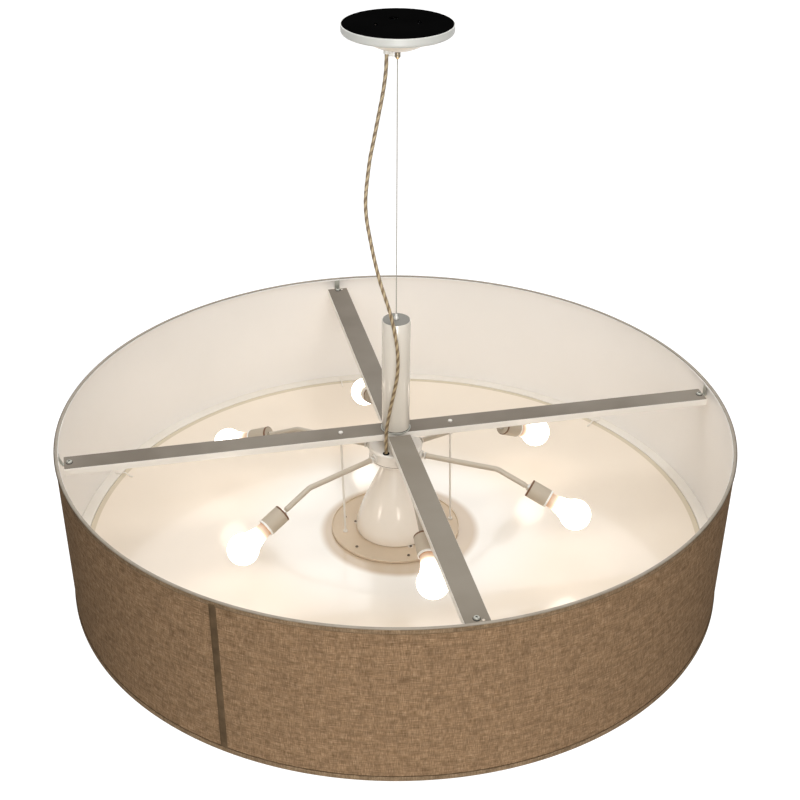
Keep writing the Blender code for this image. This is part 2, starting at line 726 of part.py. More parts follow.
def make_cone():
    """Glossy white spun cone under the hub, full at its foot, open at both ends, with three ears."""
    base = (cone_base_radius, cone_bottom_z)
    shoulder = (cone_shoulder_radius, cone_bottom_z + cone_shoulder_height)
    top = (cone_top_radius, cone_top_z)
    side = [base, (cone_shoulder_radius, cone_bottom_z + cone_shoulder_height / 3.0)]
    side += curve_points(shoulder, (shoulder[0], shoulder[1] + cone_swell),
                         (top[0] + cone_lean, top[1] - cone_lean_drop), top, cone_side_steps)
    outline = side + [(radius - cone_wall, z) for radius, z in side[::-1]]
    cone = turned("cone", outline, hub_steps, gloss_white)
    ears = []
    inner = cone_base_radius - cone_wall
    outer = cone_base_radius + cone_ear_reach
    for angle in cone_ear_angles:
        half = cone_ear_width / 2.0
        shape = prism([(inner, -half), (outer - half, -half)]
                      + arc_points((outer - half, 0.0), half, -60.0, 60.0, 2)
                      + [(outer - half, half), (inner, half)], cone_bottom_z, cone_bottom_z + cone_wall)
        ears.append(moved(shape, Matrix.Rotation(angle, 4, "Z")))
    join_by_union(cone, join_shapes(ears), "cone_ears")


def make_centre_plate():
    """Round plate on the diffuser, and the two rods that hold it up from the long bar."""
    plate = turned("centre_plate", [(0.0, plate_bottom_z), (plate_radius, plate_bottom_z),
                                    (plate_radius, plate_top_z), (0.0, plate_top_z)], hub_steps, cream_paint)
    low, high = plate_bottom_z - cut_overrun, plate_top_z + cut_overrun
    rod_x = rod_spacing / 2.0
    cut(plate, [hole(rod_radius + seat_gap, (side * rod_x, 0.0), low, high) for side in (-1.0, 1.0)],
        "centre_plate_cutter")

    start = plate_bottom_z + seat_gap
    foot = plate_top_z + seat_gap
    head = bar_top_z + seat_gap
    crown = head + rod_nut_height
    ease = rod_nut_height * edge_share
    for name, side in (("support_rod_left", -1.0), ("support_rod_right", 1.0)):
        turned(name, [(0.0, start), (rod_radius, start), (rod_radius, foot), (rod_nut_radius, foot),
                      (rod_nut_radius, foot + rod_nut_height), (rod_radius, foot + rod_nut_height),
                      (rod_radius, head), (rod_nut_radius, head), (rod_nut_radius, crown - ease),
                      (rod_nut_radius - ease, crown), (0.0, crown)],
               screw_steps, cream_paint, centre=(side * rod_x, 0.0))


def make_shade():
    """Linen drum with an overlapped seam, a liner, two wire rings and folded trims."""
    half_seam = seam_width / shade_top_radius / 2.0
    edge = half_seam + seam_lift / shade_top_radius
    facet = 2.0 * math.pi / big_steps
    angles = [facet * i for i in range(big_steps)]
    angles += [seam_angle - edge, seam_angle - half_seam, seam_angle + half_seam, seam_angle + edge]
    angles.sort()
    low, high = shade_bottom_z, shade_top_z
    shape = bmesh.new()
    loops = []
    for z, inward in ((low, 0.0), (high, 0.0), (high, fabric_thickness), (low, fabric_thickness)):
        loop = []
        for angle in angles:
            from_middle = angle % facet - facet / 2.0
            radius = (shade_radius(z) - inward) * math.cos(facet / 2.0) / math.cos(from_middle)
            if inward == 0.0 and abs(angle - seam_angle) < half_seam + seam_lift / shade_top_radius / 2.0:
                radius += seam_lift
            loop.append(shape.verts.new((*polar(radius, angle), z)))
        loops.append(loop)
    count = len(angles)
    for k in range(4):
        lower, upper = loops[k], loops[(k + 1) % 4]
        for i in range(count):
            shape.faces.new((lower[i], lower[(i + 1) % count], upper[(i + 1) % count], upper[i]))
    body_from("shade_fabric", shape, linen)

    outer = fabric_thickness + seat_gap
    inner = outer + liner_thickness
    turned("shade_liner", [(shade_radius(low) - outer, low), (shade_radius(high) - outer, high),
                           (shade_radius(high) - inner, high), (shade_radius(low) - inner, low)],
           big_steps, liner_white)

    turned("shade_bottom_ring", ring_outline(low, 1.0), big_steps, white_paint)

    for name, z, sign, leg in (("shade_top_trim", high, 1.0, top_trim_leg),
                               ("shade_bottom_trim", low, -1.0, bottom_trim_leg)):
        face = shade_radius(z) + seam_lift + seat_gap
        under = z + sign * seat_gap
        over = under + sign * trim_thickness
        end = z - sign * leg
        outline = [(face - trim_cover, under), (face - trim_cover, over), (face + trim_thickness, over),
                   (face + trim_thickness, end), (face, end), (face, under)]
        turned(name, outline, big_steps, trim_tape)


def ring_outline(z, sign):
    """Section of the wire ring just inside one end of the drum."""
    middle = (liner_inner_radius(z) - seat_gap - ring_inset - ring_wire_radius,
              z + sign * (ring_wire_radius + seat_gap))
    return arc_points(middle, ring_wire_radius, 0.0, 300.0, 5)


def make_top_frame():
    """Upper wire ring with four welded straps, which rest under the ends of the bars."""
    frame = turned("shade_top_frame", ring_outline(shade_top_z, -1.0), big_steps, white_paint)
    ring_inside = liner_inner_radius(shade_top_z) - seat_gap - ring_inset - 2.0 * ring_wire_radius
    lug_r = ring_inside + weld_depth - strap_thickness / 2.0
    foot_z = bar_top_z - bar_wall - seat_gap - strap_thickness / 2.0
    screw_r = bar_reach - bar_screw_inset
    lug_top = shade_top_z - ring_wire_radius
    centre = [(screw_r - strap_foot / 2.0, foot_z), (bar_reach + strap_thickness, foot_z),
              (lug_r, lug_top - strap_lug * 2.0), (lug_r, lug_top)]
    outline = ribbon(centre, strap_thickness)
    straps = []
    for angle in bar_end_angles:
        shape = prism(outline, -strap_width / 2.0, strap_width / 2.0, "Y")
        straps.append(moved(shape, Matrix.Rotation(angle, 4, "Z")))
    join_by_union(frame, join_shapes(straps), "hanger_straps")


def make_diffuser():
    """Acrylic disc on a stepped steel ledge inside the drum, kept down by six wire clips."""
    outer = liner_inner_radius(seat_z - ledge_sheet) - seat_gap
    inner = outer - ledge_width
    seat_inner = inner - seat_width
    outline = [(outer, ledge_z), (inner, ledge_z), (inner, seat_z), (seat_inner, seat_z),
               (seat_inner, seat_z - ledge_sheet), (inner + ledge_sheet, seat_z - ledge_sheet),
               (inner + ledge_sheet, ledge_z - ledge_sheet), (outer, ledge_z - ledge_sheet)]
    turned("diffuser_ledge", outline, big_steps, cream_paint)

    disc_radius = inner - disc_play
    turned("diffuser_disc", [(0.0, disc_bottom_z), (disc_radius, disc_bottom_z),
                             (disc_radius, disc_top_z), (0.0, disc_top_z)], big_steps, acrylic)

    lift = clip_wire_radius + seat_gap
    profile = [(inner + clip_foot, ledge_z + lift), (inner + clip_wire_radius, ledge_z + lift),
               (inner - clip_reach * clip_shares[0], ledge_z + lift + clip_rise),
               (inner - clip_reach * clip_shares[1], disc_top_z + lift), (inner - clip_reach, disc_top_z + lift)]
    outline = ribbon(profile, 2.0 * clip_wire_radius)
    for number, angle in enumerate(clip_angles, start=1):
        shape = prism(outline, -clip_wire_radius, clip_wire_radius, "Y")
        body_from("diffuser_clip_%d" % number, moved(shape, Matrix.Rotation(angle, 4, "Z")), steel)


def arm_matrix(plan, droop):
    """Frame of an arm: its origin on the hub's wall, +X along the arm, tipped down by the droop."""
    return (Matrix.Rotation(plan, 4, "Z") @ Matrix.Translation((hub_radius, 0.0, arm_z))
            @ Matrix.Rotation(droop, 4, "Y"))


def arm_path():
    """Centre line of an arm in its own frame: level, then bent down, with a rounded bend."""
    tangent = arm_bend_radius * math.tan(arm_bend / 2.0)
    points = [Vector((-arm_inside_hub, 0.0, 0.0))]
    turn_centre = (arm_run - tangent, -arm_bend_radius)
    for i in range(bend_steps + 1):
        angle = arm_bend * i / bend_steps
        points.append(Vector((turn_centre[0] + arm_bend_radius * math.sin(angle), 0.0,
                              turn_centre[1] + arm_bend_radius * math.cos(angle))))
    points.append(Vector((arm_run + arm_after_bend * math.cos(arm_bend), 0.0,
                          -arm_after_bend * math.sin(arm_bend))))
    return points


def curve_points(start, first, second, end, steps):
    """Points on a cubic curve in a section, from its start to its end."""
    points = []
    for i in range(steps + 1):
        t = i / steps
        shares = ((1 - t) ** 3, 3 * t * (1 - t) ** 2, 3 * t * t * (1 - t), t ** 3)
        points.append(tuple(sum(share * point[axis] for share, point in zip(shares, (start, first, second, end)))
                            for axis in (0, 1)))
    return points


def bulb_outline():
    """Profile of a bulb in its socket's frame: screw base, neck and globe."""
    mouth = socket_length
    base_bottom = mouth - bulb_base_length
    middle = mouth + bulb_reach
    outline = [(0.0, base_bottom - bulb_tip_height), (bulb_tip_radius, base_bottom - bulb_tip_height),
               (bulb_base_radius - bulb_tip_radius / 4.0, base_bottom + bulb_base_taper),
               (bulb_base_radius, base_bottom + bulb_base_taper), (bulb_base_radius, mouth)]
    meet = math.radians(-48.0)
    end = Vector((bulb_radius * math.cos(meet), middle + bulb_radius * math.sin(meet)))
    start = Vector((bulb_base_radius, mouth))
    along_neck = start + Vector((0.0, bulb_reach / 4.0))
    along_globe = end - Vector((-math.sin(meet), math.cos(meet))) * bulb_reach / 5.0
    outline += curve_points(start, along_neck, along_globe, end, neck_steps)[1:-1]
    globe = arc_points((0.0, middle), bulb_radius, math.degrees(meet), 90.0, globe_steps)
    globe[-1] = (0.0, middle + bulb_radius)
    return outline + globe


def make_lamps():
    """Six arms, each with a socket and a bulb on the end of it."""
    socket_at = arm_after_bend + seat_gap + nipple_length
    bore = bulb_base_radius + seat_gap
    floor = socket_length - socket_bore_depth
    outline = [(0.0, -nipple_length), (nipple_radius, -nipple_length), (nipple_radius, -nipple_nut_height),
               (nipple_nut_radius, -nipple_nut_height), (nipple_nut_radius, 0.0),
               (socket_radius - socket_bevel, 0.0), (socket_radius, socket_bevel),
               (socket_radius, socket_length), (bore, socket_length), (bore, floor), (0.0, floor)]
    for number, (plan, droop) in enumerate(arm_settings, start=1):
        frame = bpy.data.objects.new("arm_frame_%d" % number, None)
        bpy.context.collection.objects.link(frame)
        frame.matrix_world = arm_matrix(plan, droop)
        tube("arm_%d" % number, arm_path(), arm_radius, 2, white_paint, frame)

        holder = bpy.data.objects.new("socket_frame_%d" % number, None)
        bpy.context.collection.objects.link(holder)
        holder.parent = frame
        holder.matrix_local = (Matrix.Translation((arm_run + socket_at * math.cos(arm_bend), 0.0,
                                                   -socket_at * math.sin(arm_bend)))
                               @ Matrix.Rotation(math.radians(90.0) + arm_bend, 4, "Y"))
        turned("socket_%d" % number, outline, socket_steps, cream_plastic, holder)
        turned("bulb_%d" % number, bulb_outline(), socket_steps, bulb_glass, holder)


clear_scene()
cutter_grey = finish_material("cutter_grey", (0.5, 0.5, 0.5), 0.5)
black_steel = finish_material("black_steel", (0.008, 0.008, 0.008), 0.5)
black_plastic = finish_material("black_plastic", (0.02, 0.02, 0.02), 0.45)
black_rubber = finish_material("black_rubber", (0.015, 0.014, 0.013), 0.7)
white_paint = finish_material("white_paint", (0.78, 0.75, 0.69), 0.35)
gloss_white = finish_material("gloss_white", (0.80, 0.75, 0.68), 0.12)
cream_paint = finish_material("cream_paint", (0.68, 0.60, 0.47), 0.45)
cream_plastic = finish_material("cream_plastic", (0.62, 0.54, 0.42), 0.4)
white_nylon = finish_material("white_nylon", (0.85, 0.84, 0.80), 0.4)
satin_grey = finish_material("satin_grey", (0.27, 0.24, 0.20), 0.4, 0.3)
steel = finish_material("steel", (0.55, 0.54, 0.50), 0.3, 1.0)
nickel = finish_material("nickel", (0.50, 0.44, 0.34), 0.25, 1.0)
brass = finish_material("brass", (0.60, 0.42, 0.20), 0.3, 1.0)
clear_cord = finish_material("clear_cord", (0.50, 0.38, 0.22), 0.3)
linen = finish_material("linen", (0.22, 0.15, 0.08), 0.9)
liner_white = finish_material("liner_white", (0.83, 0.77, 0.70), 0.6)
trim_tape = finish_material("trim_tape", (0.38, 0.35, 0.30), 0.7)
acrylic = finish_material("acrylic", (0.82, 0.72, 0.60), 0.1)
bulb_glass = finish_material("bulb_glass", (0.95, 0.93, 0.88), 0.2)

make_ceiling_plate()
make_canopy()
make_gripper()
make_cord_grip()
make_wire()
make_cord()
make_column()
make_bars()
make_stem()
make_hub()
make_cone()
make_centre_plate()
make_shade()
make_top_frame()
make_diffuser()
make_lamps()
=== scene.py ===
"""A wide drum pendant light with its six bulbs lit, hung by one steel wire, in plain studio light."""
import math

import bmesh
import bpy
import numpy as np
from mathutils import Matrix, Vector


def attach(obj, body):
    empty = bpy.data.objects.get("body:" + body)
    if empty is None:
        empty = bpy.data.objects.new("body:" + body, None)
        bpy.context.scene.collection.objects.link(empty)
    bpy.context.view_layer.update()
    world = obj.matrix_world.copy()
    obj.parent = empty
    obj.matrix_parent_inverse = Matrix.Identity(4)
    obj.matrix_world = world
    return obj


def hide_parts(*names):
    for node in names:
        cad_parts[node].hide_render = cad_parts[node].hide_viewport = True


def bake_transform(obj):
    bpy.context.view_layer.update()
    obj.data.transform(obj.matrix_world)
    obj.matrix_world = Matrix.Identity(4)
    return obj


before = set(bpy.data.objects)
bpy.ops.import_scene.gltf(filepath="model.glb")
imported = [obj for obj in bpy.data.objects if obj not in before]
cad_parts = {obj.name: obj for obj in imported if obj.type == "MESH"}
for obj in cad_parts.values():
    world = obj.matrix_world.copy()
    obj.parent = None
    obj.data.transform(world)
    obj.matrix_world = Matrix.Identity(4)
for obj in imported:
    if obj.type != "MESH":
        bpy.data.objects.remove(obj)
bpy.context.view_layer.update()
scene = bpy.context.scene
scene.view_settings.view_transform = "Standard"

# Camera. It stands 0.6 m above the ceiling face and 2.3 m before the lamp and looks down into
# the drum, turned a little to the right of the long bar's square-on view.
look = Vector((0.2181, 0.9759, 0.0)).normalized()
pitch, roll = math.radians(29.884), math.radians(0.367)
ahead = look * math.cos(pitch) - Vector((0.0, 0.0, math.sin(pitch)))
level = Vector((look.y, -look.x, 0.0))
upright = level.cross(ahead)
right = level * math.cos(roll) + upright * math.sin(roll)
up = upright * math.cos(roll) - level * math.sin(roll)
camera_data = bpy.data.cameras.new("camera")
camera_data.sensor_width = 36.0
camera_data.lens = 65.2
camera_data.clip_start = 0.05
camera = bpy.data.objects.new("camera", camera_data)
scene.collection.objects.link(camera)
camera.matrix_world = Matrix((
    (right.x, up.x, -ahead.x, -0.489),
    (right.y, up.y, -ahead.y, -2.2222),
    (right.z, up.z, -ahead.z, 0.6223),
    (0.0, 0.0, 0.0, 1.0)))
scene.camera = camera


# Power cord. A clear jacket over a gold and a silver lead twisted together. It leaves the
# canopy's grip, bows out beside the wire, crosses in front of the column and enters the hub.
def polar(radius, degrees):
    """The point (x, y) on a circle round the lamp's axis."""
    return radius * math.cos(math.radians(degrees)), radius * math.sin(math.radians(degrees))


grip, grommet = polar(0.0311, 224.2), polar(0.0412, 232.8)
cord_route = (
    (*grip, -0.0392),
    (-0.0239, -0.0225, -0.0707),
    (-0.0288, -0.0226, -0.1057),
    (-0.0360, -0.0222, -0.1432),
    (-0.0434, -0.0217, -0.1815),
    (-0.0498, -0.0215, -0.2136),
    (-0.0543, -0.0216, -0.2464),
    (-0.0571, -0.0221, -0.2727),
    (-0.0578, -0.0219, -0.2951),
    (-0.0559, -0.0223, -0.3224),
    (-0.0508, -0.0235, -0.3547),
    (-0.0438, -0.0251, -0.3929),
    (-0.0349, -0.0272, -0.4327),
    (-0.0250, -0.0296, -0.4674),
    (-0.0170, -0.0316, -0.4965),
    (-0.0106, -0.0333, -0.5289),
    (-0.0060, -0.0343, -0.5588),
    (-0.0042, -0.0347, -0.5894),
    (-0.0058, -0.0344, -0.6201),
    (-0.0115, -0.0335, -0.6541),
    (-0.0183, -0.0327, -0.6884),
    (-0.0237, -0.0322, -0.7233),
    (-0.0250, -0.0326, -0.7480),
    (*grommet, -0.7756),
)


def smooth_path(points, step):
    """Evenly spaced points on a Catmull-Rom curve through a route."""
    knots = [Vector(p) for p in points]
    ends = [knots[0] * 2.0 - knots[1]] + knots + [knots[-1] * 2.0 - knots[-2]]
    fine = []
    for a, b, c, d in zip(ends, ends[1:], ends[2:], ends[3:]):
        for k in range(12):
            t = k / 12
            fine.append(0.5 * (2.0 * b + (c - a) * t + (2.0 * a - 5.0 * b + 4.0 * c - d) * t * t
                               + (3.0 * b - a - 3.0 * c + d) * t * t * t))
    fine.append(knots[-1])
    lengths = np.concatenate([[0.0], np.cumsum([(q - p).length for p, q in zip(fine, fine[1:])])])
    count = max(2, round(lengths[-1] / step))
    wanted = np.linspace(0.0, lengths[-1], count + 1)
    fine = np.array([tuple(p) for p in fine])
    return [Vector([np.interp(w, lengths, fine[:, axis]) for axis in range(3)]) for w in wanted]


def ring_section(radius, sides, lobes=0, depth=0.0):
    """A round section, drawn in between its lobes if it has any."""
    turn = np.linspace(0.0, 2.0 * np.pi, sides, endpoint=False)
    r = radius - depth * 0.5 * (1.0 - np.cos(lobes * turn))
    return list(zip(r * np.cos(turn), r * np.sin(turn)))


def new_mesh(name, verts, faces, uvs=()):
    """A mesh from plain lists, with its UVs in metres where they are given."""
    mesh = bpy.data.meshes.new(name)
    mesh.from_pydata([tuple(v) for v in verts], [], faces)
    if uvs:
        layer = mesh.uv_layers.new(name="metres")
        layer.data.foreach_set("uv", np.array(uvs, np.float32).ravel())
    return mesh


def swept_mesh(name, path, section, twist):
    """Mesh of a closed section carried along a path, with capped ends and UVs (length, turn)."""
    path = [Vector(p) for p in path]
    side = Vector((1.0, 0.0, 0.0))
    verts, faces, uvs, runs = [], [], [], [0.0]
    count = len(section)
    for i, here in enumerate(path):
        along = (path[min(i + 1, len(path) - 1)] - path[max(i - 1, 0)]).normalized()
        side = side - along * side.dot(along)
        if side.length < 1e-4:
            side = along.orthogonal()
        side.normalize()
        other = along.cross(side)
        if i:
            runs.append(runs[-1] + (here - path[i - 1]).length)
        c, s = math.cos(runs[-1] * twist), math.sin(runs[-1] * twist)
        for x, y in section:
            verts.append(here + side * (x * c - y * s) + other * (x * s + y * c))
    for i in range(len(path) - 1):
        for k in range(count):
            a, b = i * count + k, i * count + (k + 1) % count
            faces.append((a, b, b + count, a + count))
            uvs += [(runs[i], k / count), (runs[i], (k + 1) / count),
                    (runs[i + 1], (k + 1) / count), (runs[i + 1], k / count)]
    last = (len(path) - 1) * count
    faces += [tuple(range(count))[::-1], tuple(range(last, last + count))]
    uvs += [(0.0, 0.0)] * count + [(runs[-1], 0.0)] * count
    return new_mesh(name, verts, faces, uvs)


def finish_piece(name, mesh, material, slot, nodes=(), body="lamp", sharp=35.0, matrix=None):
    """Shade a mesh, put it in the scene, tie it to its body, and hide the CAD nodes it stands for."""
    shape = bmesh.new()
    shape.from_mesh(mesh)
    bmesh.ops.remove_doubles(shape, verts=shape.verts, dist=0.000002)
    bmesh.ops.recalc_face_normals(shape, faces=shape.faces)
    shape.to_mesh(mesh)
    shape.free()
    mesh.shade_smooth()
    mesh.set_sharp_from_angle(angle=math.radians(sharp))
    piece = bpy.data.objects.new(name, mesh)
    scene.collection.objects.link(piece)
    if material is not None:
        mesh.materials.append(material)
    if matrix is not None:
        mesh.transform(matrix)
    if body is not None:
        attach(piece, body)
    if nodes:
        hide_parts(*nodes)
    return piece


def swept(name, path, section, material, slot, nodes=(), twist=0.0, **fit):
    """A piece of one section carried along a path."""
    return finish_piece(name, swept_mesh(name, path, section, twist), material, slot, nodes, **fit)


def feed(tree, made, inputs):
    """Link a socket into each of a node's inputs, or set its value."""
    for label, source in inputs:
        if hasattr(source, "is_output"):
            tree.links.new(source, made.inputs[label])
        else:
            made.inputs[label].default_value = source


def node(tree, kind, inputs=(), **settings):
    """A new shader node with its settings and inputs."""
    made = tree.nodes.new("ShaderNode" + kind)
    for key, value in settings.items():
        setattr(made, key, value)
    feed(tree, made, inputs)
    return made


def maths(tree, operation, *values):
    """The result of one step of arithmetic."""
    return node(tree, "Math", enumerate(values), operation=operation).outputs[0]


def spread(tree, value, low, high, to_low=0.0, to_high=1.0, curve="LINEAR"):
    """A value carried from one range to another."""
    return node(tree, "MapRange", [("Value", value), ("From Min", low), ("From Max", high),
                                   ("To Min", to_low), ("To Max", to_high)],
                interpolation_type=curve).outputs["Result"]


def ramp(tree, share, first, last, *between):
    """A colour between two ends, with (place, colour) pairs between them."""
    made = node(tree, "ValToRGB", [("Fac", share)])
    stops = made.color_ramp.elements
    stops[0].color, stops[1].color = (*first, 1.0), (*last, 1.0)
    for place, colour in between:
        stops.new(place).color = (*colour, 1.0)
    return made.outputs["Color"]


def bumped(tree, strength, distance, height):
    """The normal that a height gives."""
    return node(tree, "Bump", [("Strength", strength), ("Distance", distance),
                               ("Height", height)]).outputs["Normal"]


def new_material(name):
    """A material, its node tree and its shader."""
    made = bpy.data.materials.new(name)
    made.use_nodes = True
    return made, made.node_tree, made.node_tree.nodes["Principled BSDF"]


def build_clear_cord():
    """Two metallic leads of fine strands that wind round each other under a clear jacket."""
    made, tree, shader = new_material("clear_cord")
    strand_lay = 0.006
    split = node(tree, "SeparateXYZ", [(0, node(tree, "TexCoord").outputs["UV"])]).outputs
    angle = maths(tree, "MULTIPLY", split["Y"], 4.0 * math.pi)
    silver = spread(tree, maths(tree, "SINE", angle), -0.3, 0.3)
    turns = maths(tree, "DIVIDE", split["X"], strand_lay)
    strands = maths(tree, "SINE", maths(tree, "MULTIPLY_ADD", angle, 4.5, turns))
    feed(tree, shader, [
        ("Base Color", ramp(tree, silver, (0.19, 0.125, 0.060), (0.46, 0.355, 0.205))),
        ("Normal", bumped(tree, 0.35, 0.0004, strands)), ("Metallic", 0.1), ("Roughness", 0.34),
        ("Coat Weight", 0.3), ("Coat Roughness", 0.06)])
    return made


clear_cord = build_clear_cord()
cord_path = smooth_path(cord_route, 0.0025)
meeting = round(0.31 * (len(cord_path) - 1))
cord_section = ring_section(0.00335, 20, lobes=2, depth=0.0003)
for name, path, bodies in (("cord_upper", cord_path[:meeting + 1], ("ceiling", "wire")),
                           ("cord_lower", cord_path[meeting:], ("wire", "lamp"))):
    piece = swept(name, path, cord_section, clear_cord, "clear_cord", ["power_" + name],
                  twist=2.0 * math.pi / 0.034, body=None, sharp=60.0)
    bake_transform(piece)


# Suspension wire. Steel strands laid together, held by the gripper above and by the swivel in
# the column's cap below, a turned and tapered steel sleeve.
def new_group(name, inputs, outputs):
    """A shader node group, its input sockets as seen inside, and its output node."""
    group = bpy.data.node_groups.new(name, "ShaderNodeTree")
    for in_out, sockets in (("INPUT", inputs), ("OUTPUT", outputs)):
        for label, kind in sockets.items():
            group.interface.new_socket(label, in_out=in_out, socket_type="NodeSocket" + kind)
    return group, group.nodes.new("NodeGroupInput").outputs, group.nodes.new("NodeGroupOutput")


def mix_colour(tree, share, first, second):
    """Two colours mixed."""
    return node(tree, "Mix", [(0, share), (6, first), (7, second)], data_type="RGBA").outputs[2]


rough_spread = 0.16


def build_finish_group():
    """What paint, plastic and metal share: broad patches, fine grain and a shallow bump."""
    group, given, end = new_group(
        "hard_finish",
        {"Colour": "Color", "Worn colour": "Color", "Patch scale": "Float",
         "Patch amount": "Float", "Grain scale": "Float", "Bump": "Float", "Roughness": "Float"},
        {"Colour": "Color", "Roughness": "Float", "Normal": "Vector"})
    place = node(group, "TexCoord").outputs["Object"]
    patch = node(group, "TexNoise", [("Vector", place), ("Scale", given["Patch scale"]),
                                     ("Detail", 4.0), ("Roughness", 0.6)]).outputs["Fac"]
    grain = node(group, "TexNoise", [("Vector", place), ("Scale", given["Grain scale"]),
                                     ("Detail", 2.0)]).outputs["Fac"]
    worn = maths(group, "MULTIPLY", spread(group, patch, 0.4, 0.7), given["Patch amount"])
    worn = maths(group, "ADD", worn, spread(group, grain, 0.62, 0.8, 0.0, 0.12))
    feed(group, end, [
        ("Colour", mix_colour(group, worn, given["Colour"], given["Worn colour"])),
        ("Roughness", maths(group, "MULTIPLY_ADD", patch, rough_spread, given["Roughness"])),
        ("Normal", bumped(group, given["Bump"], 0.0004, grain))])
    return group


hard_finish = build_finish_group()


def hard(name, colour, worn, roughness, metallic=0.0, patch=12.0, amount=0.3, grain=900.0,
         bump=0.1, coat=0.0, gloss=0.5):
    """A hard surface's material: the shared finish with its own colours and sheen."""
    made, tree, shader = new_material(name)
    finish = node(tree, "Group", node_tree=hard_finish)
    feed(tree, finish, [
        ("Colour", (*colour, 1.0)), ("Worn colour", (*worn, 1.0)), ("Patch scale", patch),
        ("Patch amount", amount), ("Grain scale", grain), ("Bump", bump),
        ("Roughness", roughness - rough_spread / 2.0)])
    feed(tree, shader, [
        ("Base Color", finish.outputs["Colour"]), ("Roughness", finish.outputs["Roughness"]),
        ("Normal", finish.outputs["Normal"]), ("Metallic", metallic), ("Coat Weight", coat),
        ("Coat Roughness", 0.08), ("Specular IOR Level", gloss)])
    return made


def spun_mesh(name, outline, steps):
    """Mesh of a closed section of (radius, height) points spun about Z, with UVs in metres."""
    outline = np.array(outline, float)
    count = len(outline)
    turn = np.linspace(0.0, 2.0 * np.pi, steps, endpoint=False)
    verts = np.stack([np.outer(np.cos(turn), outline[:, 0]), np.outer(np.sin(turn), outline[:, 0]),
                      np.tile(outline[:, 1], (steps, 1))], axis=-1).reshape(-1, 3)
    sides = np.linalg.norm(np.diff(outline, axis=0), axis=1)
    along = np.concatenate([[0.0], np.cumsum([*sides, 0.001])])
    around = outline[:, 0].max() * 2.0 * np.pi * np.arange(steps + 1) / steps
    faces, uvs = [], []
    for i in range(steps):
        j = (i + 1) % steps
        for k in range(count):
            m = (k + 1) % count
            faces.append((i * count + k, j * count + k, j * count + m, i * count + m))
            uvs += [(around[i], along[k]), (around[i + 1], along[k]),
                    (around[i + 1], along[k + 1]), (around[i], along[k + 1])]
    return new_mesh(name, verts.tolist(), faces, uvs)


def spun(name, outline, steps, material, slot, nodes=(), **fit):
    """A turned piece."""
    return finish_piece(name, spun_mesh(name, outline, steps), material, slot, nodes, **fit)


wire_steel = hard("wire_steel", (0.42, 0.40, 0.35), (0.34, 0.31, 0.26), 0.4, metallic=0.3)
bright_steel = hard("bright_steel", (0.62, 0.60, 0.56), (0.45, 0.43, 0.40), 0.28, metallic=1.0)
wire_top, wire_foot, wire_step = -0.0580, -0.5381, 0.004
wire_path = [(0.0, 0.0, wire_top - wire_step * i)
             for i in range(int((wire_top - wire_foot) / wire_step) + 1)]
swept("wire_strand", wire_path, ring_section(0.0010, 14, 6, 0.0001), wire_steel, "wire_steel",
      ["suspension_wire"], twist=2.0 * math.pi / 0.016, body="wire", sharp=70.0)
spun("swivel", [(0.0013, -0.5110), (0.0017, -0.5106), (0.0020, -0.5108), (0.0025, -0.5140),
                (0.0034, -0.5166), (0.0042, -0.5185), (0.0046, -0.5196), (0.0048, -0.5208),
                (0.0048, -0.5226), (0.0095, -0.5226), (0.0095, -0.5256), (0.0048, -0.5256),
                (0.0048, -0.5391), (0.0, -0.5391), (0.0, -0.5384), (0.0013, -0.5384)],
     32, bright_steel, "wire_steel", ["wire_swivel"], body="wire")


# Canopy. A white spun pan with a shallow dome, closed above by a plate painted pure black, as
# the shade in the pan's hollow. The dome is painted warmer and paler than the pan's side, for the
# bulbs' light falling up on it. The wire's gripper hangs from the middle of the dome, and the
# cord's nylon grip sits beside it.
def arc(centre, radius, first, last, steps):
    """Points along an arc in a section; angles in degrees."""
    angles = np.radians(np.linspace(first, last, steps + 1))
    return [(centre[0] + radius * math.cos(a), centre[1] + radius * math.sin(a)) for a in angles]


def paint_faces(mesh, materials, choose):
    """Give each face of a mesh one of several materials, by where its centre lies."""
    for material in materials:
        mesh.materials.append(material)
    for face in mesh.polygons:
        face.material_index = int(choose(face.center))


def repaint(material, *names):
    """Give a material to CAD nodes whose shape stays."""
    for name in names:
        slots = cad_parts[name].data.materials
        slots.clear()
        slots.append(material)


cool_paint = hard("cool_paint", (0.655, 0.66, 0.625), (0.62, 0.61, 0.575), 0.4, coat=0.1)
# The dome's tone is painted light: warmer and paler than the side, for the bulbs' light from below.
bulb_lit_dome_paint = hard("bulb_lit_dome_paint", (0.92, 0.84, 0.73), (0.86, 0.77, 0.65), 0.36, coat=0.2)
# The plate is painted pure black with no sheen, as the shade in the pan's hollow.
black_steel = hard("black_steel", (0.002, 0.002, 0.002), (0.004, 0.004, 0.004), 0.7, gloss=0.0)
black_rubber = hard("black_rubber", (0.012, 0.011, 0.010), (0.03, 0.03, 0.028), 0.7, gloss=0.2)
white_nylon = hard("white_nylon", (0.86, 0.85, 0.81), (0.80, 0.78, 0.72), 0.4)
pan_wall, pan_bore, dome_edge, dome_r, dome_height = 0.0012, 0.0043, 0.0640, 0.0871, 0.0436
lip_centre, lip_r = (0.0853, -0.0100), 0.0055


def dome_line(radius, first, last):
    """The dome's section from one distance to another."""
    return [(r, dome_height - math.sqrt(radius ** 2 - r ** 2)) for r in np.linspace(first, last, 18)]


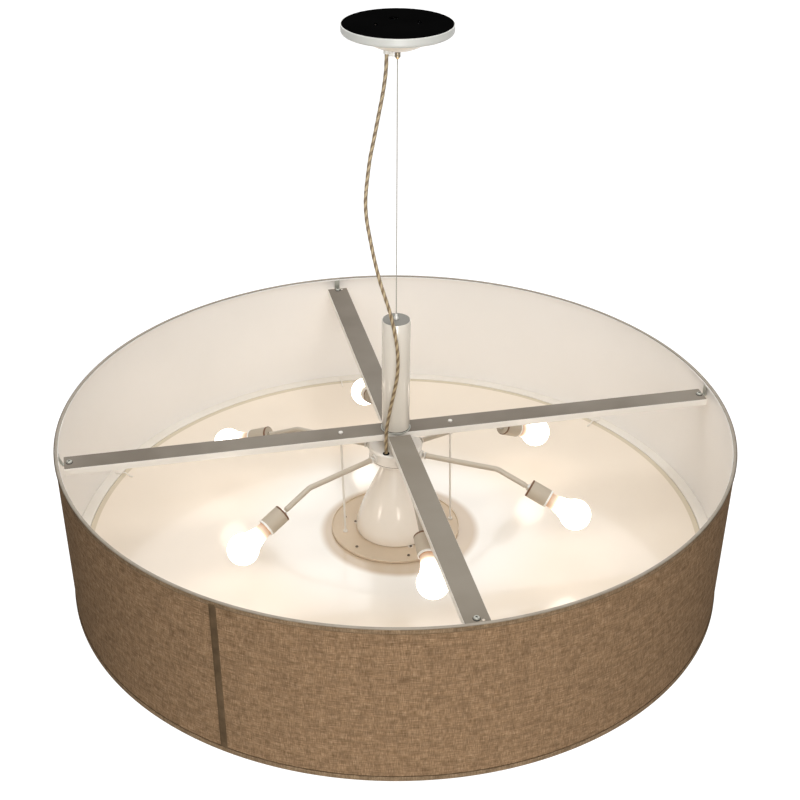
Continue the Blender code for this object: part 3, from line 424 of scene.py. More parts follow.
pan = spun_mesh("canopy_shell", [(0.0896, -0.0003), (0.0902, -0.0003), (0.0908, -0.0008)]
                + arc(lip_centre, lip_r, 0.0, -90.0, 8) + dome_line(dome_r, dome_edge, pan_bore)
                + dome_line(dome_r - pan_wall, pan_bore, dome_edge - pan_wall)
                + arc(lip_centre, lip_r - pan_wall, -90.0, 0.0, 8), 128)
paint_faces(pan, (cool_paint, bulb_lit_dome_paint), lambda at: math.hypot(at.x, at.y) < dome_edge + 0.0001)
finish_piece("canopy_shell", pan, None, "white_paint", ["canopy_pan"], "ceiling")
repaint(black_steel, "mounting_plate")
repaint(white_nylon, "strain_relief")
repaint(black_rubber, "terminal_block")
repaint(bright_steel, "hanging_coupler")
repaint(clear_cord, "canopy_lead")


# Wire gripper. A turned nickel barrel with two dark bands hangs under the dome, and its sprung
# brass nose, which frees the wire when pushed up, shows at its foot.
def softened(points, radius):
    """A closed section with each corner off the axis rounded by a small radius."""
    points = [Vector((*p, 0.0)) for p in points]
    out = []
    for i, here in enumerate(points):
        before, after = points[i - 1] - here, points[(i + 1) % len(points)] - here
        if abs(here.x) < 1e-6 or before.length < 1e-7 or after.length < 1e-7:
            out.append((here.x, here.y))
            continue
        cut = min(radius, before.length * 0.45, after.length * 0.45)
        a, b = here + before.normalized() * cut, here + after.normalized() * cut
        for t in np.linspace(0.0, 1.0, 4):
            p = a * (1 - t) ** 2 + here * 2 * t * (1 - t) + b * t * t
            out.append((p.x, p.y))
    return out


nickel = hard("nickel", (0.24, 0.20, 0.145), (0.16, 0.13, 0.09), 0.25, metallic=0.8)
dark_steel = hard("dark_steel", (0.15, 0.11, 0.075), (0.20, 0.15, 0.10), 0.5, metallic=0.2)
brass = hard("brass", (0.62, 0.43, 0.20), (0.42, 0.28, 0.12), 0.34, metallic=1.0)
barrel = spun_mesh("gripper_barrel", [
    (0.0, -0.0086), (0.0040, -0.0086), (0.0040, -0.0436), (0.0053, -0.0436), (0.0056, -0.0441),
    (0.0056, -0.0449), (0.0053, -0.0453), (0.0043, -0.0453), (0.0043, -0.0466), (0.0049, -0.0469),
    (0.0049, -0.0496), (0.0045, -0.0499), (0.0045, -0.0505), (0.0049, -0.0508), (0.0049, -0.0541),
    (0.0041, -0.0547), (0.0034, -0.0547), (0.0034, -0.0472), (0.0, -0.0472)], 40)
paint_faces(barrel, (nickel, dark_steel), lambda at: -0.0468 < at.z < -0.0452 or at.z < -0.0540)
finish_piece("gripper_barrel", barrel, None, "nickel", ["gripper_body"], "ceiling")
spun("gripper_tip", softened([(0.0013, -0.0495), (0.0031, -0.0495), (0.0031, -0.0564),
                              (0.0018, -0.0577), (0.0013, -0.0577)], 0.0003),
     32, brass, "brass", ["gripper_nose"], body="release_nose")

# Column. A white lacquered tube with a thin disc let into its top, painted grey as the shade on
# a face turned up, and a black plug in its foot, whose low zinc collar shows under the tube
# between two dark lines.
column_white = hard("column_white", (0.79, 0.74, 0.66), (0.74, 0.69, 0.60), 0.14, coat=0.8)
# Painted shade: the cap's grey stands for the shade on its upward face.
shaded_cap_grey = hard("shaded_cap_grey", (0.25, 0.24, 0.22), (0.34, 0.33, 0.30), 0.6, patch=2.6, amount=0.9,
                gloss=0.08)
zinc = hard("zinc", (0.44, 0.44, 0.39), (0.34, 0.34, 0.29), 0.38, metallic=0.3, patch=60.0)
tube_r, tube_bore, tube_top, tube_foot = 0.0254, 0.0238, -0.5226, -0.7394
spun("column_shell", softened([(tube_r, tube_foot), (tube_r, tube_top), (tube_bore, tube_top),
                               (tube_bore, tube_foot)], 0.0005),
     96, column_white, "white_paint", ["column_tube"])
spun("column_lid", [(0.0051, -0.5211), (0.0232, -0.5211)]
     + arc((0.0232, -0.5217), 0.0006, 90.0, 0.0, 4)
     + [(0.0240, -0.5223), (0.0235, -0.5223), (0.0235, -0.5323), (0.0219, -0.5323),
        (0.0219, -0.5223), (0.0051, -0.5223)], 96, shaded_cap_grey, "satin_grey", ["column_cap"])
plug = spun_mesh("column_foot", [(0.0270, -0.7424), (0.0272, -0.7420), (0.0272, -0.7410),
                                 (0.0266, -0.7405), (0.0256, -0.7404), (0.0252, -0.7396),
                                 (0.0235, -0.7396), (0.0235, -0.7294), (0.0053, -0.7294),
                                 (0.0053, -0.7424)], 96)
paint_faces(plug, (black_rubber, zinc), lambda at: -0.7421 < at.z < -0.7403)
finish_piece("column_foot", plug, None, "black_plastic", ["column_flange"])

# Cross bars. Folded steel channels: one runs right across the drum and two shorter ones meet
# it, the front one 10 mm off on a flat tongue. Their folded sides are white. Their tops are
# painted satin grey as shade on faces turned up, away from the bulbs, and the front one's top
# is painted paler for the light that falls on it.
bright_white = hard("bright_white", (0.88, 0.84, 0.78), (0.82, 0.78, 0.71), 0.34, coat=0.25)
white_paint = hard("white_paint", (0.74, 0.70, 0.64), (0.68, 0.63, 0.55), 0.34, coat=0.25)
# The tops' greys: painted shade, and a paler painted grey for the light on the front bar.
satin_grey = hard("satin_grey", (0.203, 0.173, 0.140), (0.32, 0.285, 0.24), 0.6, patch=2.6,
                  amount=0.9, grain=1400.0, gloss=0.08)
lit_pale_grey = hard("lit_pale_grey", (0.265, 0.230, 0.185), (0.36, 0.325, 0.275), 0.6, patch=2.6,
                 amount=0.9, grain=1400.0, gloss=0.08)
bar_half, bar_wall, bar_top, bar_foot = 0.0209, 0.0015, -0.7427, -0.7554
# From the lamp's axis to each end's screw and to the end itself: right, back, left and front.
screw_r, end_r = (0.5925, 0.5930, 0.5862, 0.5700), (0.5995, 0.6000, 0.5955, 0.5975)
rod_x = 0.1025


def prism_mesh(name, near, far):
    """Mesh of a flat outline joined to its copy at another place."""
    count = len(near)
    faces = [(k, (k + 1) % count, count + (k + 1) % count, count + k) for k in range(count)]
    faces += [tuple(range(count))[::-1], tuple(range(count, 2 * count))]
    return new_mesh(name, near + far, faces)


def channel(name, low, high, along_y, nodes, holes, painted_top_tone):
    """One bar: a rounded channel section between two ends, drilled through its top."""
    inner, under = bar_half - bar_wall, bar_top - bar_wall
    section = softened([(-bar_half, bar_foot), (-bar_half, bar_top), (bar_half, bar_top),
                        (bar_half, bar_foot), (inner, bar_foot), (inner, under), (-inner, under),
                        (-inner, bar_foot)], 0.0009)
    near, far = ([(x, y, z) if along_y else (y, x, z) for x, z in section] for y in (low, high))
    mesh = prism_mesh(name, near, far)
    # Faces on top take the painted top tone; the folded sides stay white.
    paint_faces(mesh, (bright_white, painted_top_tone), lambda at: at.z > bar_top - 0.0002)
    bar = finish_piece(name, mesh, None, "satin_grey", nodes)
    for x, y, radius in holes:
        shape = bmesh.new()
        bmesh.ops.create_cone(shape, cap_ends=True, segments=32, radius1=radius, radius2=radius,
                              depth=0.006, matrix=Matrix.Translation((x, y, bar_top)))
        drill = bpy.data.objects.new("drill", bpy.data.meshes.new("drill"))
        shape.to_mesh(drill.data)
        shape.free()
        scene.collection.objects.link(drill)
        cut = bar.modifiers.new("hole", "BOOLEAN")
        cut.object, cut.solver = drill, "EXACT"
        graph = bpy.context.evaluated_depsgraph_get()
        drilled = bpy.data.meshes.new_from_object(bar.evaluated_get(graph))
        bar.modifiers.remove(cut)
        bar.data = drilled
        bpy.data.objects.remove(drill)


channel("bar_long", -end_r[2], end_r[0], False, ["long_bar"],
        [(-screw_r[2], 0.0010, 0.0045), (screw_r[0], 0.0010, 0.0045), (-rod_x, 0.0, 0.0023),
         (rod_x, 0.0, 0.0023)], satin_grey)
channel("bar_back", 0.0212, end_r[1], True, ["cross_bar_back"],
        [(0.0, screw_r[1], 0.0045), (0.0090, 0.5945, 0.0022)], satin_grey)
channel("bar_front", -end_r[3], -0.0310, True, ["cross_bar_front"],
        [(0.0, -screw_r[3], 0.0045), (0.0098, -0.5745, 0.0024)], lit_pale_grey)


def flat_section(half_width, half_height):
    """A rectangular section."""
    return [(-half_width, -half_height), (half_width, -half_height),
            (half_width, half_height), (-half_width, half_height)]


swept("bar_front_tongue", [(0.0, -0.0212, -0.7547), (0.0, -0.0420, -0.7547)],
      flat_section(0.0185, 0.0007), white_paint, "satin_grey")
repaint(bright_steel, "joint_plate", "stem_nut", "hub_stem")


# Bar screws. Zinc-plated pan heads, each on a thin black ring that is painted shade, the dark
# crescent round the head's foot. One at each bar's end holds the bar to the strap under it.
def screw(name, spot, seat, radius, height, material, turn):
    """A pan-head screw seated on a level face, a dark cross painted on its dip as the shade in its
    recess.
    """
    head = spun_mesh(name, [(0.0, seat - 0.0016), (radius * 0.4, seat - 0.0016),
                            (radius * 0.4, seat), (radius, seat)]
                     + arc((radius * 0.55, seat + height * 0.3), radius * 0.45, 0.0, 70.0, 4)
                     + [(radius * 0.42, seat + height), (radius * 0.36, seat + height * 0.6),
                        (0.0, seat + height * 0.5)], 24)
    # The dark cross is painted shade for the recess; the head's dip itself is round.
    paint_faces(head, (material, black_rubber), lambda at: (
        math.hypot(at.x, at.y) < radius * 0.40 and at.z > seat + height * 0.45
        and abs(math.sin(2.0 * math.atan2(at.y, at.x))) < 0.9))
    finish_piece(name, head, None, "zinc_steel",
                 matrix=Matrix.Translation((*spot, 0.0)) @ Matrix.Rotation(turn, 4, "Z"))


# Each screw stands on a thin black ring: painted shade, the dark crescent round the head's foot.
shade_ring_top, shade_ring_foot = -0.7420, -0.7426
for number in range(4):
    spot = polar(screw_r[number], 90.0 * number)
    spun(f"bar_end_shade_ring_{number + 1}", [(0.0, -0.7446), (0.0030, -0.7446), (0.0030, shade_ring_foot),
                                          (0.0060, shade_ring_foot), (0.0060, shade_ring_top),
                                          (0.0, shade_ring_top)],
         32, black_rubber, "zinc_steel", matrix=Matrix.Translation((*spot, 0.0)))
    screw(f"bar_end_screw_{number + 1}", spot, shade_ring_top, 0.0052, 0.0030, zinc, 0.3 + number)

# Hub. A white cup with a lid, hung under the bars by a bolt. Six lamp arms are nutted into its
# wall, and the cord goes in through a black grommet.
hub_paint = hard("hub_paint", (0.86, 0.81, 0.74), (0.80, 0.74, 0.65), 0.3, coat=0.4)
hub_r, hub_bore, bolt_r = 0.0485, 0.0470, 0.0053
spun("hub_cup", [(hub_r, -0.7788)] + arc((0.0435, -0.8015), 0.005, 0.0, -90.0, 8)
     + [(bolt_r, -0.8065), (bolt_r, -0.8050), (0.0445, -0.8050), (hub_bore, -0.8015),
        (hub_bore, -0.7788)], 96, hub_paint, "white_paint", ["hub_body"])
spun("hub_cover", [(bolt_r, -0.7770), (0.0455, -0.7770)]
     + arc((0.0457, -0.7809), 0.0039, 90.0, 0.0, 8)
     + [(0.0495, -0.7828), (0.0488, -0.7829), (0.0488, -0.7785), (bolt_r, -0.7785)],
     96, hub_paint, "white_paint", ["hub_lid"])
spun("hub_seam", arc((0.0484, -0.8012), 0.0005, -120.0, 120.0, 6), 96, dark_steel, "black_rubber")
spun("cord_grommet", [(0.00355, -0.7753)] + arc((0.0050, -0.7764), 0.0012, 90.0, 0.0, 5)
     + [(0.0062, -0.7767), (0.0048, -0.7767), (0.0048, -0.7788), (0.0054, -0.7790),
        (0.0050, -0.7802), (0.00355, -0.7802)], 32, black_rubber, "black_rubber",
     ["hub_grommet"], matrix=Matrix.Translation((*grommet, 0.0)))


# Cone. Glossy white and spun thin, it stands on the centre plate with its three ears screwed
# down and hides the wiring's slack.
def bezier(bends, steps):
    """Points of a section along a cubic curve."""
    points = []
    for k in range(steps + 1):
        t = k / steps
        weights = ((1 - t) ** 3, 3 * t * (1 - t) ** 2, 3 * t * t * (1 - t), t ** 3)
        points.append(tuple(sum(w * bend[axis] for w, bend in zip(weights, bends))
                            for axis in (0, 1)))
    return points


def turned(degrees):
    """A turn round the lamp's axis."""
    return Matrix.Rotation(math.radians(degrees), 4, "Z")


gloss_white = hard("gloss_white", (0.87, 0.80, 0.71), (0.82, 0.74, 0.635), 0.12, coat=0.9)
cone_wall, ear_in, ear_half, ear_foot, ear_top = 0.0015, 0.0692, 0.005, -0.9604, -0.9592
cone_side = [(0.0718, ear_foot), (0.0733, -0.9590), (0.0739, -0.9566)] + bezier(
    ((0.0740, -0.9510), (0.0736, -0.9260), (0.0495, -0.8800), (0.0185, -0.8068)), 24)
spun("cone_shell", cone_side + [(r - cone_wall, z) for r, z in cone_side[::-1]], 128,
     gloss_white, "gloss_white", ["cone"])
ear_outline = ([(ear_in, -ear_half)] + arc((0.0745, 0.0), ear_half, -80.0, 80.0, 10)
               + [(ear_in, ear_half)])
for number, angle in enumerate((40.0, 160.0, 280.0), start=1):
    near, far = ([(x, y, z) for x, y in ear_outline] for z in (ear_foot, ear_top))
    finish_piece(f"cone_ear_{number}", prism_mesh(f"cone_ear_{number}", near, far), gloss_white,
                 "gloss_white", matrix=turned(angle))
    screw(f"cone_screw_{number}", polar(0.0768, angle), ear_top, 0.0026, 0.0018, dark_steel, number)

# Centre plate. A round cream plate with a raised rim lies on the diffuser, held by six screws
# and by two thin white rods that come down from the long bar.
cream_paint = hard("cream_paint", (0.68, 0.55, 0.405), (0.60, 0.47, 0.33), 0.42)
plate_top, plate_foot = -0.9607, -0.9623
spun("plate_disc", [(0.0, plate_foot), (0.1190, plate_foot)]
     + arc((0.1190, -0.9603), 0.0020, -90.0, 0.0, 4)
     + [(0.1210, -0.9572), (0.1203, -0.9569), (0.1198, -0.9572), (0.1196, -0.9596),
        (0.1180, plate_top), (0.0, plate_top)], 160, cream_paint, "cream_paint", ["centre_plate"])
for number in range(6):
    screw(f"plate_screw_{number + 1}", polar(0.1000, 32.0 + 60.0 * number), plate_top, 0.0028,
          0.0018, dark_steel, 0.4 * number)
rod_r, nut_r, rod_head, rod_foot = 0.0020, 0.0042, -0.7424, -0.9574
for name, x, lean in (("left", -rod_x, 0.0060), ("right", rod_x, 0.0050)):
    rod = spun_mesh("rod_" + name, [
        (0.0, -0.9620), (rod_r, -0.9620), (rod_r, -0.9604), (nut_r, -0.9604), (nut_r, -0.9579),
        (0.0038, rod_foot), (rod_r, rod_foot), (rod_r, rod_head), (nut_r, rod_head),
        (nut_r, -0.7406), (0.0034, -0.7396), (0.0, -0.7394)], 24)
    for v in rod.vertices:
        v.co.x += lean * min(1.0, max(0.0, (rod_head - v.co.z) / (rod_head - rod_foot)))
    finish_piece("rod_" + name, rod, white_paint, "cream_paint", ["support_rod_" + name],
                 matrix=Matrix.Translation((x, 0.0, 0.0)))


# Shade. Coarse linen glued over a stiff white lining. The drum narrows by one part in a hundred
# towards its foot.
def build_weave_group():
    """Woven threads both ways, their uneven slubs, and the height of the weave."""
    group, given, end = new_group("linen_weave", {"Pitch": "Float"},
                                  {"Thread": "Float", "Slub": "Float", "Height": "Float"})
    place = node(group, "TexCoord").outputs["UV"]

    def streak(along, across, detail):
        """Noise drawn out along one thread direction."""
        stretch = node(group, "Mapping", [("Vector", place), ("Scale", (along, across, 1.0))])
        return node(group, "TexNoise", [("Vector", stretch.outputs[0]), ("Scale", 1.0),
                                        ("Detail", detail), ("Roughness", 0.65)]).outputs["Fac"]

    threads = maths(group, "ADD", streak(55.0, 780.0, 3.0), streak(780.0, 75.0, 3.0))
    slubs = maths(group, "ADD", streak(22.0, 110.0, 2.0), streak(120.0, 26.0, 2.0))
    split = node(group, "SeparateXYZ", [(0, place)]).outputs
    waves = []
    for label in ("X", "Y"):
        turns = maths(group, "DIVIDE", split[label], given["Pitch"])
        waves.append(maths(group, "SINE", maths(group, "MULTIPLY", turns, 2.0 * math.pi)))
    height = maths(group, "MULTIPLY_ADD", maths(group, "MULTIPLY", *waves), 0.25, threads)
    feed(group, end, [("Thread", threads), ("Slub", slubs), ("Height", height)])
    return group


weave_group = build_weave_group()


def build_linen(name, dark, middle, pale):
    """Linen in three tones: the gaps between threads, the threads, and the thickest ones."""
    made, tree, shader = new_material(name)
    weave = node(tree, "Group", node_tree=weave_group)
    feed(tree, weave, [("Pitch", 0.0013)])
    thread = ramp(tree, spread(tree, weave.outputs["Thread"], 0.72, 1.28), dark, pale,
                  (0.5, middle))
    shade = spread(tree, weave.outputs["Slub"], 0.75, 1.3, 0.80, 1.22)
    tone = node(tree, "VectorMath", [(0, thread), ("Scale", shade)], operation="SCALE").outputs[0]
    feed(tree, shader, [
        ("Base Color", tone), ("Normal", bumped(tree, 0.6, 0.0005, weave.outputs["Height"])),
        ("Roughness", 0.95), ("Specular IOR Level", 0.05)])
    return made


linen = build_linen("linen", (0.132, 0.078, 0.039), (0.252, 0.157, 0.087), (0.41, 0.274, 0.166))
lining = hard("shade_lining", (0.88, 0.85, 0.815), (0.84, 0.81, 0.77), 0.5, patch=4.0, amount=0.5,
              grain=600.0, bump=0.08)
top, foot, rim_r, drum_height = -0.722, -1.0258, 0.6096, 0.3048
heights = np.linspace(foot, top, 25)


def drum_radius(z):
    """Outer radius of the linen at a height."""
    return rim_r * (1.0 - 0.01 * (top - z) / drum_height)


def layer(outside, inside):
    """Section of one layer, by how far inside the linen's outer face its own two faces are."""
    return ([(drum_radius(z) - outside, z) for z in heights]
            + [(drum_radius(z) - inside, z) for z in heights[::-1]])


fabric = spun("shade_linen", layer(0.0, 0.0015), 384, linen, "linen", ["shade_fabric"], sharp=60.0)
liner = spun("shade_film", layer(0.0018, 0.0028), 384, lining, "shade_lining", ["shade_liner"],
             sharp=60.0)

# Seam. The cover's lap is a strip of the same linen, folded under and glued, darker than the
# rest. Its mesh is rows of doubled points, one on the cover and one on the strip's face.
seam_linen = hard("seam_linen", (0.085, 0.056, 0.031), (0.142, 0.094, 0.054), 0.9, patch=30.0,
                  amount=0.9, grain=500.0, bump=0.5, gloss=0.05)
seam = math.radians(230.8)
half_turn = 0.0065 / rim_r
verts, faces = [], []
for z in heights:
    for share in np.linspace(-1.0, 1.0, 9):
        for lift in (0.0002, 0.0004 + 0.0007 * min(1.0, 6.0 * (1.0 - abs(share)))):
            r = drum_radius(z) + lift
            verts.append((r * math.cos(seam + half_turn * share),
                          r * math.sin(seam + half_turn * share), z))
row = 2 * 9
for start in range(0, row * (len(heights) - 1), row):
    for a in range(start, start + row - 2):
        faces.append((a, a + 2, a + 2 + row, a + row))
    for a in (start, start + row - 2):
        faces.append((a, a + 1, a + 1 + row, a + row))
for start in (0, row * (len(heights) - 1)):
    for a in range(start, start + row - 2, 2):
        faces.append((a, a + 1, a + 3, a + 2))
finish_piece("seam_lap", new_mesh("seam_lap", verts, faces), seam_linen, "linen", sharp=60.0)


# Edges. A wire ring runs inside each end. The upper edge is rolled over its ring in a pale
# cord-like crown with a narrow hem below it, and the foot has a wider hem. A thin dark line along
# each hem's edge is painted shade, for the groove there.
def hem_shade_line(name, z):
    """A thin dark line round the drum, painted shade along a hem's edge."""
    spun(name, arc((drum_radius(z) + 0.0002, z), 0.0003, 0.0, 300.0, 5), 384, seam_linen, "linen")


trim_tape = hard("trim_tape", (0.315, 0.270, 0.212), (0.24, 0.20, 0.150), 0.5, patch=60.0,
                 amount=0.6, grain=700.0, bump=0.3, coat=0.2)
hem_linen = build_linen("hem_linen", (0.135, 0.087, 0.047), (0.235, 0.159, 0.095),
                        (0.36, 0.256, 0.160))
spun("ring_top", arc((0.6050, top - 0.0024), 0.0016, 0.0, 342.0, 19), 256, lining,
     "white_paint", ["shade_top_frame"])
spun("ring_foot", arc((0.5975, foot + 0.0028), 0.0024, 0.0, 342.0, 19), 256, white_paint,
     "white_paint", ["shade_bottom_ring"])
crown_r, crown_half, crown_rise = 0.6072, 0.0028, 0.0015
crown = [(crown_r + crown_half * math.cos(a), top + 0.0004 + crown_rise * math.sin(a))
         for a in np.linspace(0.0, math.pi, 13)]
spun("tape_top", [(0.6094, top - 0.0004), (0.6100, top - 0.0004)] + crown
     + [(0.6094, top + 0.0003)], 384, trim_tape, "trim_tape", ["shade_top_trim"])
hem_low, hem_edge = top - 0.0078, top - 0.0076
spun("hem_top", [(drum_radius(hem_low) + 0.0002, hem_low),
                 (drum_radius(hem_edge) + 0.0007, hem_edge), (0.6112, top - 0.0006),
                 (0.6112, top + 0.0002), (0.6109, top + 0.0005), (0.6104, top - 0.0006)],
     384, hem_linen, "linen")
hem_shade_line("hem_top_shade_line", top - 0.0083)
edge = drum_radius(foot) + 0.0009
hem_face = edge + 0.0007
spun("tape_foot", softened([(edge - 0.0100, foot - 0.0002), (edge, foot - 0.0002),
                            (edge, foot + 0.0080), (hem_face, foot + 0.0080),
                            (hem_face, foot - 0.0006), (edge - 0.0100, foot - 0.0006)], 0.0002),
     384, hem_linen, "linen", ["shade_bottom_trim"])
hem_shade_line("hem_foot_shade_line", foot + 0.0084)

# Straps. Four bent steel strips, zinc plated. Each is screwed under a bar's end and welded to
# the upper wire ring, so that the bars carry the drum.
for number in range(4):
    inner, outer = screw_r[number] - 0.012, end_r[number]
    profile = [(inner, -0.7457), (outer + 0.0006, -0.7457), (outer + 0.0034, -0.7425),
               (0.6026, -0.7340), (0.6036, -0.7245)]
    swept(f"strap_{number + 1}", smooth_path([(r, 0.0, z) for r, z in profile], 0.002),
          flat_section(0.001, 0.0050), zinc, "zinc_steel", matrix=turned(90.0 * number))

# Ledge. A stepped band round the inside of the drum, covered with the lining's own film, which
# puckers a little on its flat. The film here is given a darker tone than the lining's: painted
# shade. The disc's edge lies in its step.
# A darker copy of the lining's film: painted shade.
ledge_cover = hard("ledge_cover", (0.75, 0.71, 0.65), (0.69, 0.63, 0.54), 0.45, patch=9.0,
                   amount=0.5, grain=300.0, bump=0.25)
ledge_in, seat_in, pucker_in = 0.5797, 0.5671, 0.583
ledge = spun_mesh("ledge_band", softened([
    (0.6016, -0.9614), (0.6000, -0.9612), (0.5900, -0.9613), (0.5810, -0.9612),
    (ledge_in, -0.9618), (ledge_in, -0.9659), (seat_in, -0.9659), (seat_in, -0.9678),
    (0.5818, -0.9678), (0.5822, -0.9634), (0.6016, -0.9634)], 0.0006), 360)
rng = np.random.default_rng(7)
puckers = [(rng.integers(5, 60), rng.uniform(0.0, 6.28), rng.uniform(0.2, 1.0)) for _ in range(14)]
for v in ledge.vertices:
    r = math.hypot(v.co.x, v.co.y)
    if v.co.z > -0.9626 and r > pucker_in:
        a = math.atan2(v.co.y, v.co.x)
        v.co.z += (0.00005 * sum(h * math.sin(k * a + p) for k, p, h in puckers)
                   * min(1.0, (r - pucker_in) / 0.006))
finish_piece("ledge_band", ledge, ledge_cover, "ledge_cover", ["diffuser_ledge"])

# Diffuser. An opal acrylic disc. Painted light makes it paler towards its middle, a tan painted
# shadow rings the centre plate, and a beige band is painted as shade where it lies on its ledge.
# Its underside glows with the light through it.
opal = hard("opal_acrylic", (0.80, 0.71, 0.60), (0.76, 0.66, 0.55), 0.20, patch=3.0, amount=0.5,
            grain=1500.0, bump=0.02, coat=0.6)
tree = opal.node_tree
shader = tree.nodes["Principled BSDF"]
painted = shader.inputs["Base Color"].links[0].from_socket
place = node(tree, "TexCoord").outputs["Object"]
# Painted tones by distance from the axis: the paler middle is painted light from the bulbs, the tan
# halo a painted shadow of the centre plate, and the beige band painted shade over the ledge.
for centre, near, far, at_near, tone in (
        ((0.0, 0.0, 0.0), 0.18, 0.32, 1.0, (0.90, 0.86, 0.80, 1.0)),
        ((0.006, -0.011, 0.0), 0.138, 0.156, 1.0, (0.57, 0.45, 0.325, 1.0)),
        ((0.0, 0.0, 0.0), 0.5680, 0.5695, 0.0, (0.60, 0.52, 0.39, 1.0))):
    shifted = node(tree, "VectorMath", enumerate((place, centre)), operation="SUBTRACT")
    flat = node(tree, "VectorMath", enumerate((shifted.outputs[0], (1.0, 1.0, 0.0))),
                operation="MULTIPLY")
    reach = node(tree, "VectorMath", [(0, flat.outputs[0])], operation="LENGTH").outputs["Value"]
    share = spread(tree, reach, near, far, at_near, 1.0 - at_near, "SMOOTHSTEP")
    painted = mix_colour(tree, share, painted, tone)
feed(tree, shader, [("Base Color", painted)])
glow, tree, shader = new_material("opal_glow")
feed(tree, shader, [("Base Color", (0.82, 0.76, 0.68, 1.0)),
                    ("Emission Color", (1.0, 0.93, 0.82, 1.0)), ("Emission Strength", 0.55),
                    ("Roughness", 0.30)])
disc_r, disc_top, disc_foot = 0.5791, -0.9626, -0.9656
disc = spun_mesh("opal_disc", [
    (0.0, disc_foot), (disc_r - 0.0006, disc_foot), (disc_r, disc_foot + 0.0006),
    (disc_r, disc_top - 0.0006), (disc_r - 0.0006, disc_top), (0.30, disc_top), (0.0, disc_top)], 256)
paint_faces(disc, (opal, glow), lambda at: at.z < disc_foot + 0.0001)
finish_piece("opal_disc", disc, None, "acrylic", ["diffuser_disc"])

# Disc clips. Six bent spring wires, painted white. Each grips the ledge's inner edge and
# presses on the disc's rim.
clip_r = 0.0011
clip_profile = ((0.0120, -0.9599), (0.0060, -0.9599), (0.0012, -0.9597), (-0.0050, -0.9575),
                (-0.0089, -0.9551), (-0.0130, -0.9559), (-0.0216, -0.9609), (-0.0270, -0.9611))
clip_path = smooth_path([(ledge_in + out, 0.0, z) for out, z in clip_profile], 0.0015)
for number in range(6):
    swept(f"edge_clip_{number + 1}", clip_path, ring_section(clip_r, 10), white_paint,
          "zinc_steel", [f"diffuser_clip_{number + 1}"], matrix=turned(30.0 + 60.0 * number))

# Lamp arms. Six bent tubes, each nutted into the hub by a threaded nipple and turned to its own
# plan angle and droop. A moulded cream socket sits on each, and in it a frosted globe bulb.
# The arms' tan is a darker copy of the white paint: painted shade, as the arms stand dark against the
# lit disc.
shaded_arm_paint = hard("shaded_arm_paint", (0.50, 0.43, 0.34), (0.43, 0.36, 0.27), 0.32, coat=0.25)
bend, run, after, bend_r = math.radians(23.7), 0.1484, 0.0575, 0.0200
tangent = bend_r * math.tan(bend / 2.0)
arm_route = [(0.0116, 0.0, 0.0), (0.05, 0.0, 0.0), (0.10, 0.0, 0.0)]
arm_route += [(run - tangent + bend_r * math.sin(bend * k / 12), 0.0,
               -bend_r + bend_r * math.cos(bend * k / 12)) for k in range(13)]
arm_route += [(run + after * math.cos(bend), 0.0, -after * math.sin(bend))]
nipple = []
for k in range(14):
    nipple += [(0.0034, -0.0055 + 0.0013 * k), (0.0039, -0.0049 + 0.0013 * k)]
nipple += [(0.0034, 0.0130), (0.0, 0.0130), (0.0, -0.0055)]
nut_corner = 0.0070
seats = []
for number, (plan, droop) in enumerate(((22.9, 2.8), (88.4, 0.7), (147.4, -0.8), (207.0, 1.2),
                                        (268.1, -3.3), (327.2, -0.7)), start=1):
    root = (turned(plan) @ Matrix.Translation((hub_r, 0.0, -0.791))
            @ Matrix.Rotation(math.radians(droop), 4, "Y"))
    swept(f"arm_tube_{number}", arm_route, ring_section(0.0050, 24), shaded_arm_paint, "white_paint",
          [f"arm_{number}"], matrix=root)
    axle = root @ Matrix.Rotation(math.radians(90.0), 4, "Y")
    spun(f"arm_nipple_{number}", nipple, 24, bright_steel, "white_paint", matrix=axle)
    for label, low, high, size in (("nut", 0.0014, 0.0046, 1.15), ("locknut", 0.0086, 0.0112, 1.0)):
        swept(f"arm_{label}_{number}", [(low, 0.0, 0.0), (high, 0.0, 0.0)],
              ring_section(nut_corner * size, 6), white_paint, "white_paint", matrix=root)
    spun(f"arm_collar_{number}", softened([(0.0040, 0.0005), (0.0096, 0.0005), (0.0096, 0.0013),
                                           (0.0040, 0.0013)], 0.0003),
         32, white_paint, "white_paint", matrix=axle)
    seats.append(root @ Matrix.Translation((run + 0.0653 * math.cos(bend), 0.0,
                                            -0.0653 * math.sin(bend)))
                 @ Matrix.Rotation(math.radians(90.0) + bend, 4, "Y"))

# Sockets. Cream moulded plastic, copper-brown down inside, with a dark copper-brown band at the
# foot painted as the shade of the gap there, and a pale ring round the mouth. A nut below its
# foot holds each on its arm.
cream_plastic = hard("cream_plastic", (0.50, 0.43, 0.34), (0.43, 0.36, 0.27), 0.5, gloss=0.3)
copper_and_gap_shade = hard("copper_shell_and_gap_shade", (0.16, 0.075, 0.035), (0.11, 0.05, 0.025), 0.5)
socket_r, mouth_r, mouth = 0.0165, 0.0138, 0.0416


def socket_tone(at):
    """Cream, copper-brown or pale, by where a face of the socket lies; the band at the foot is
    painted shade.
    """
    r = math.hypot(at.x, at.y)
    if 0.0 < at.z < 0.0033 and r > 0.0145 or r < mouth_r + 0.0001 and at.z > 0.0119:
        return 1
    return 2 if at.z > 0.0380 else 0


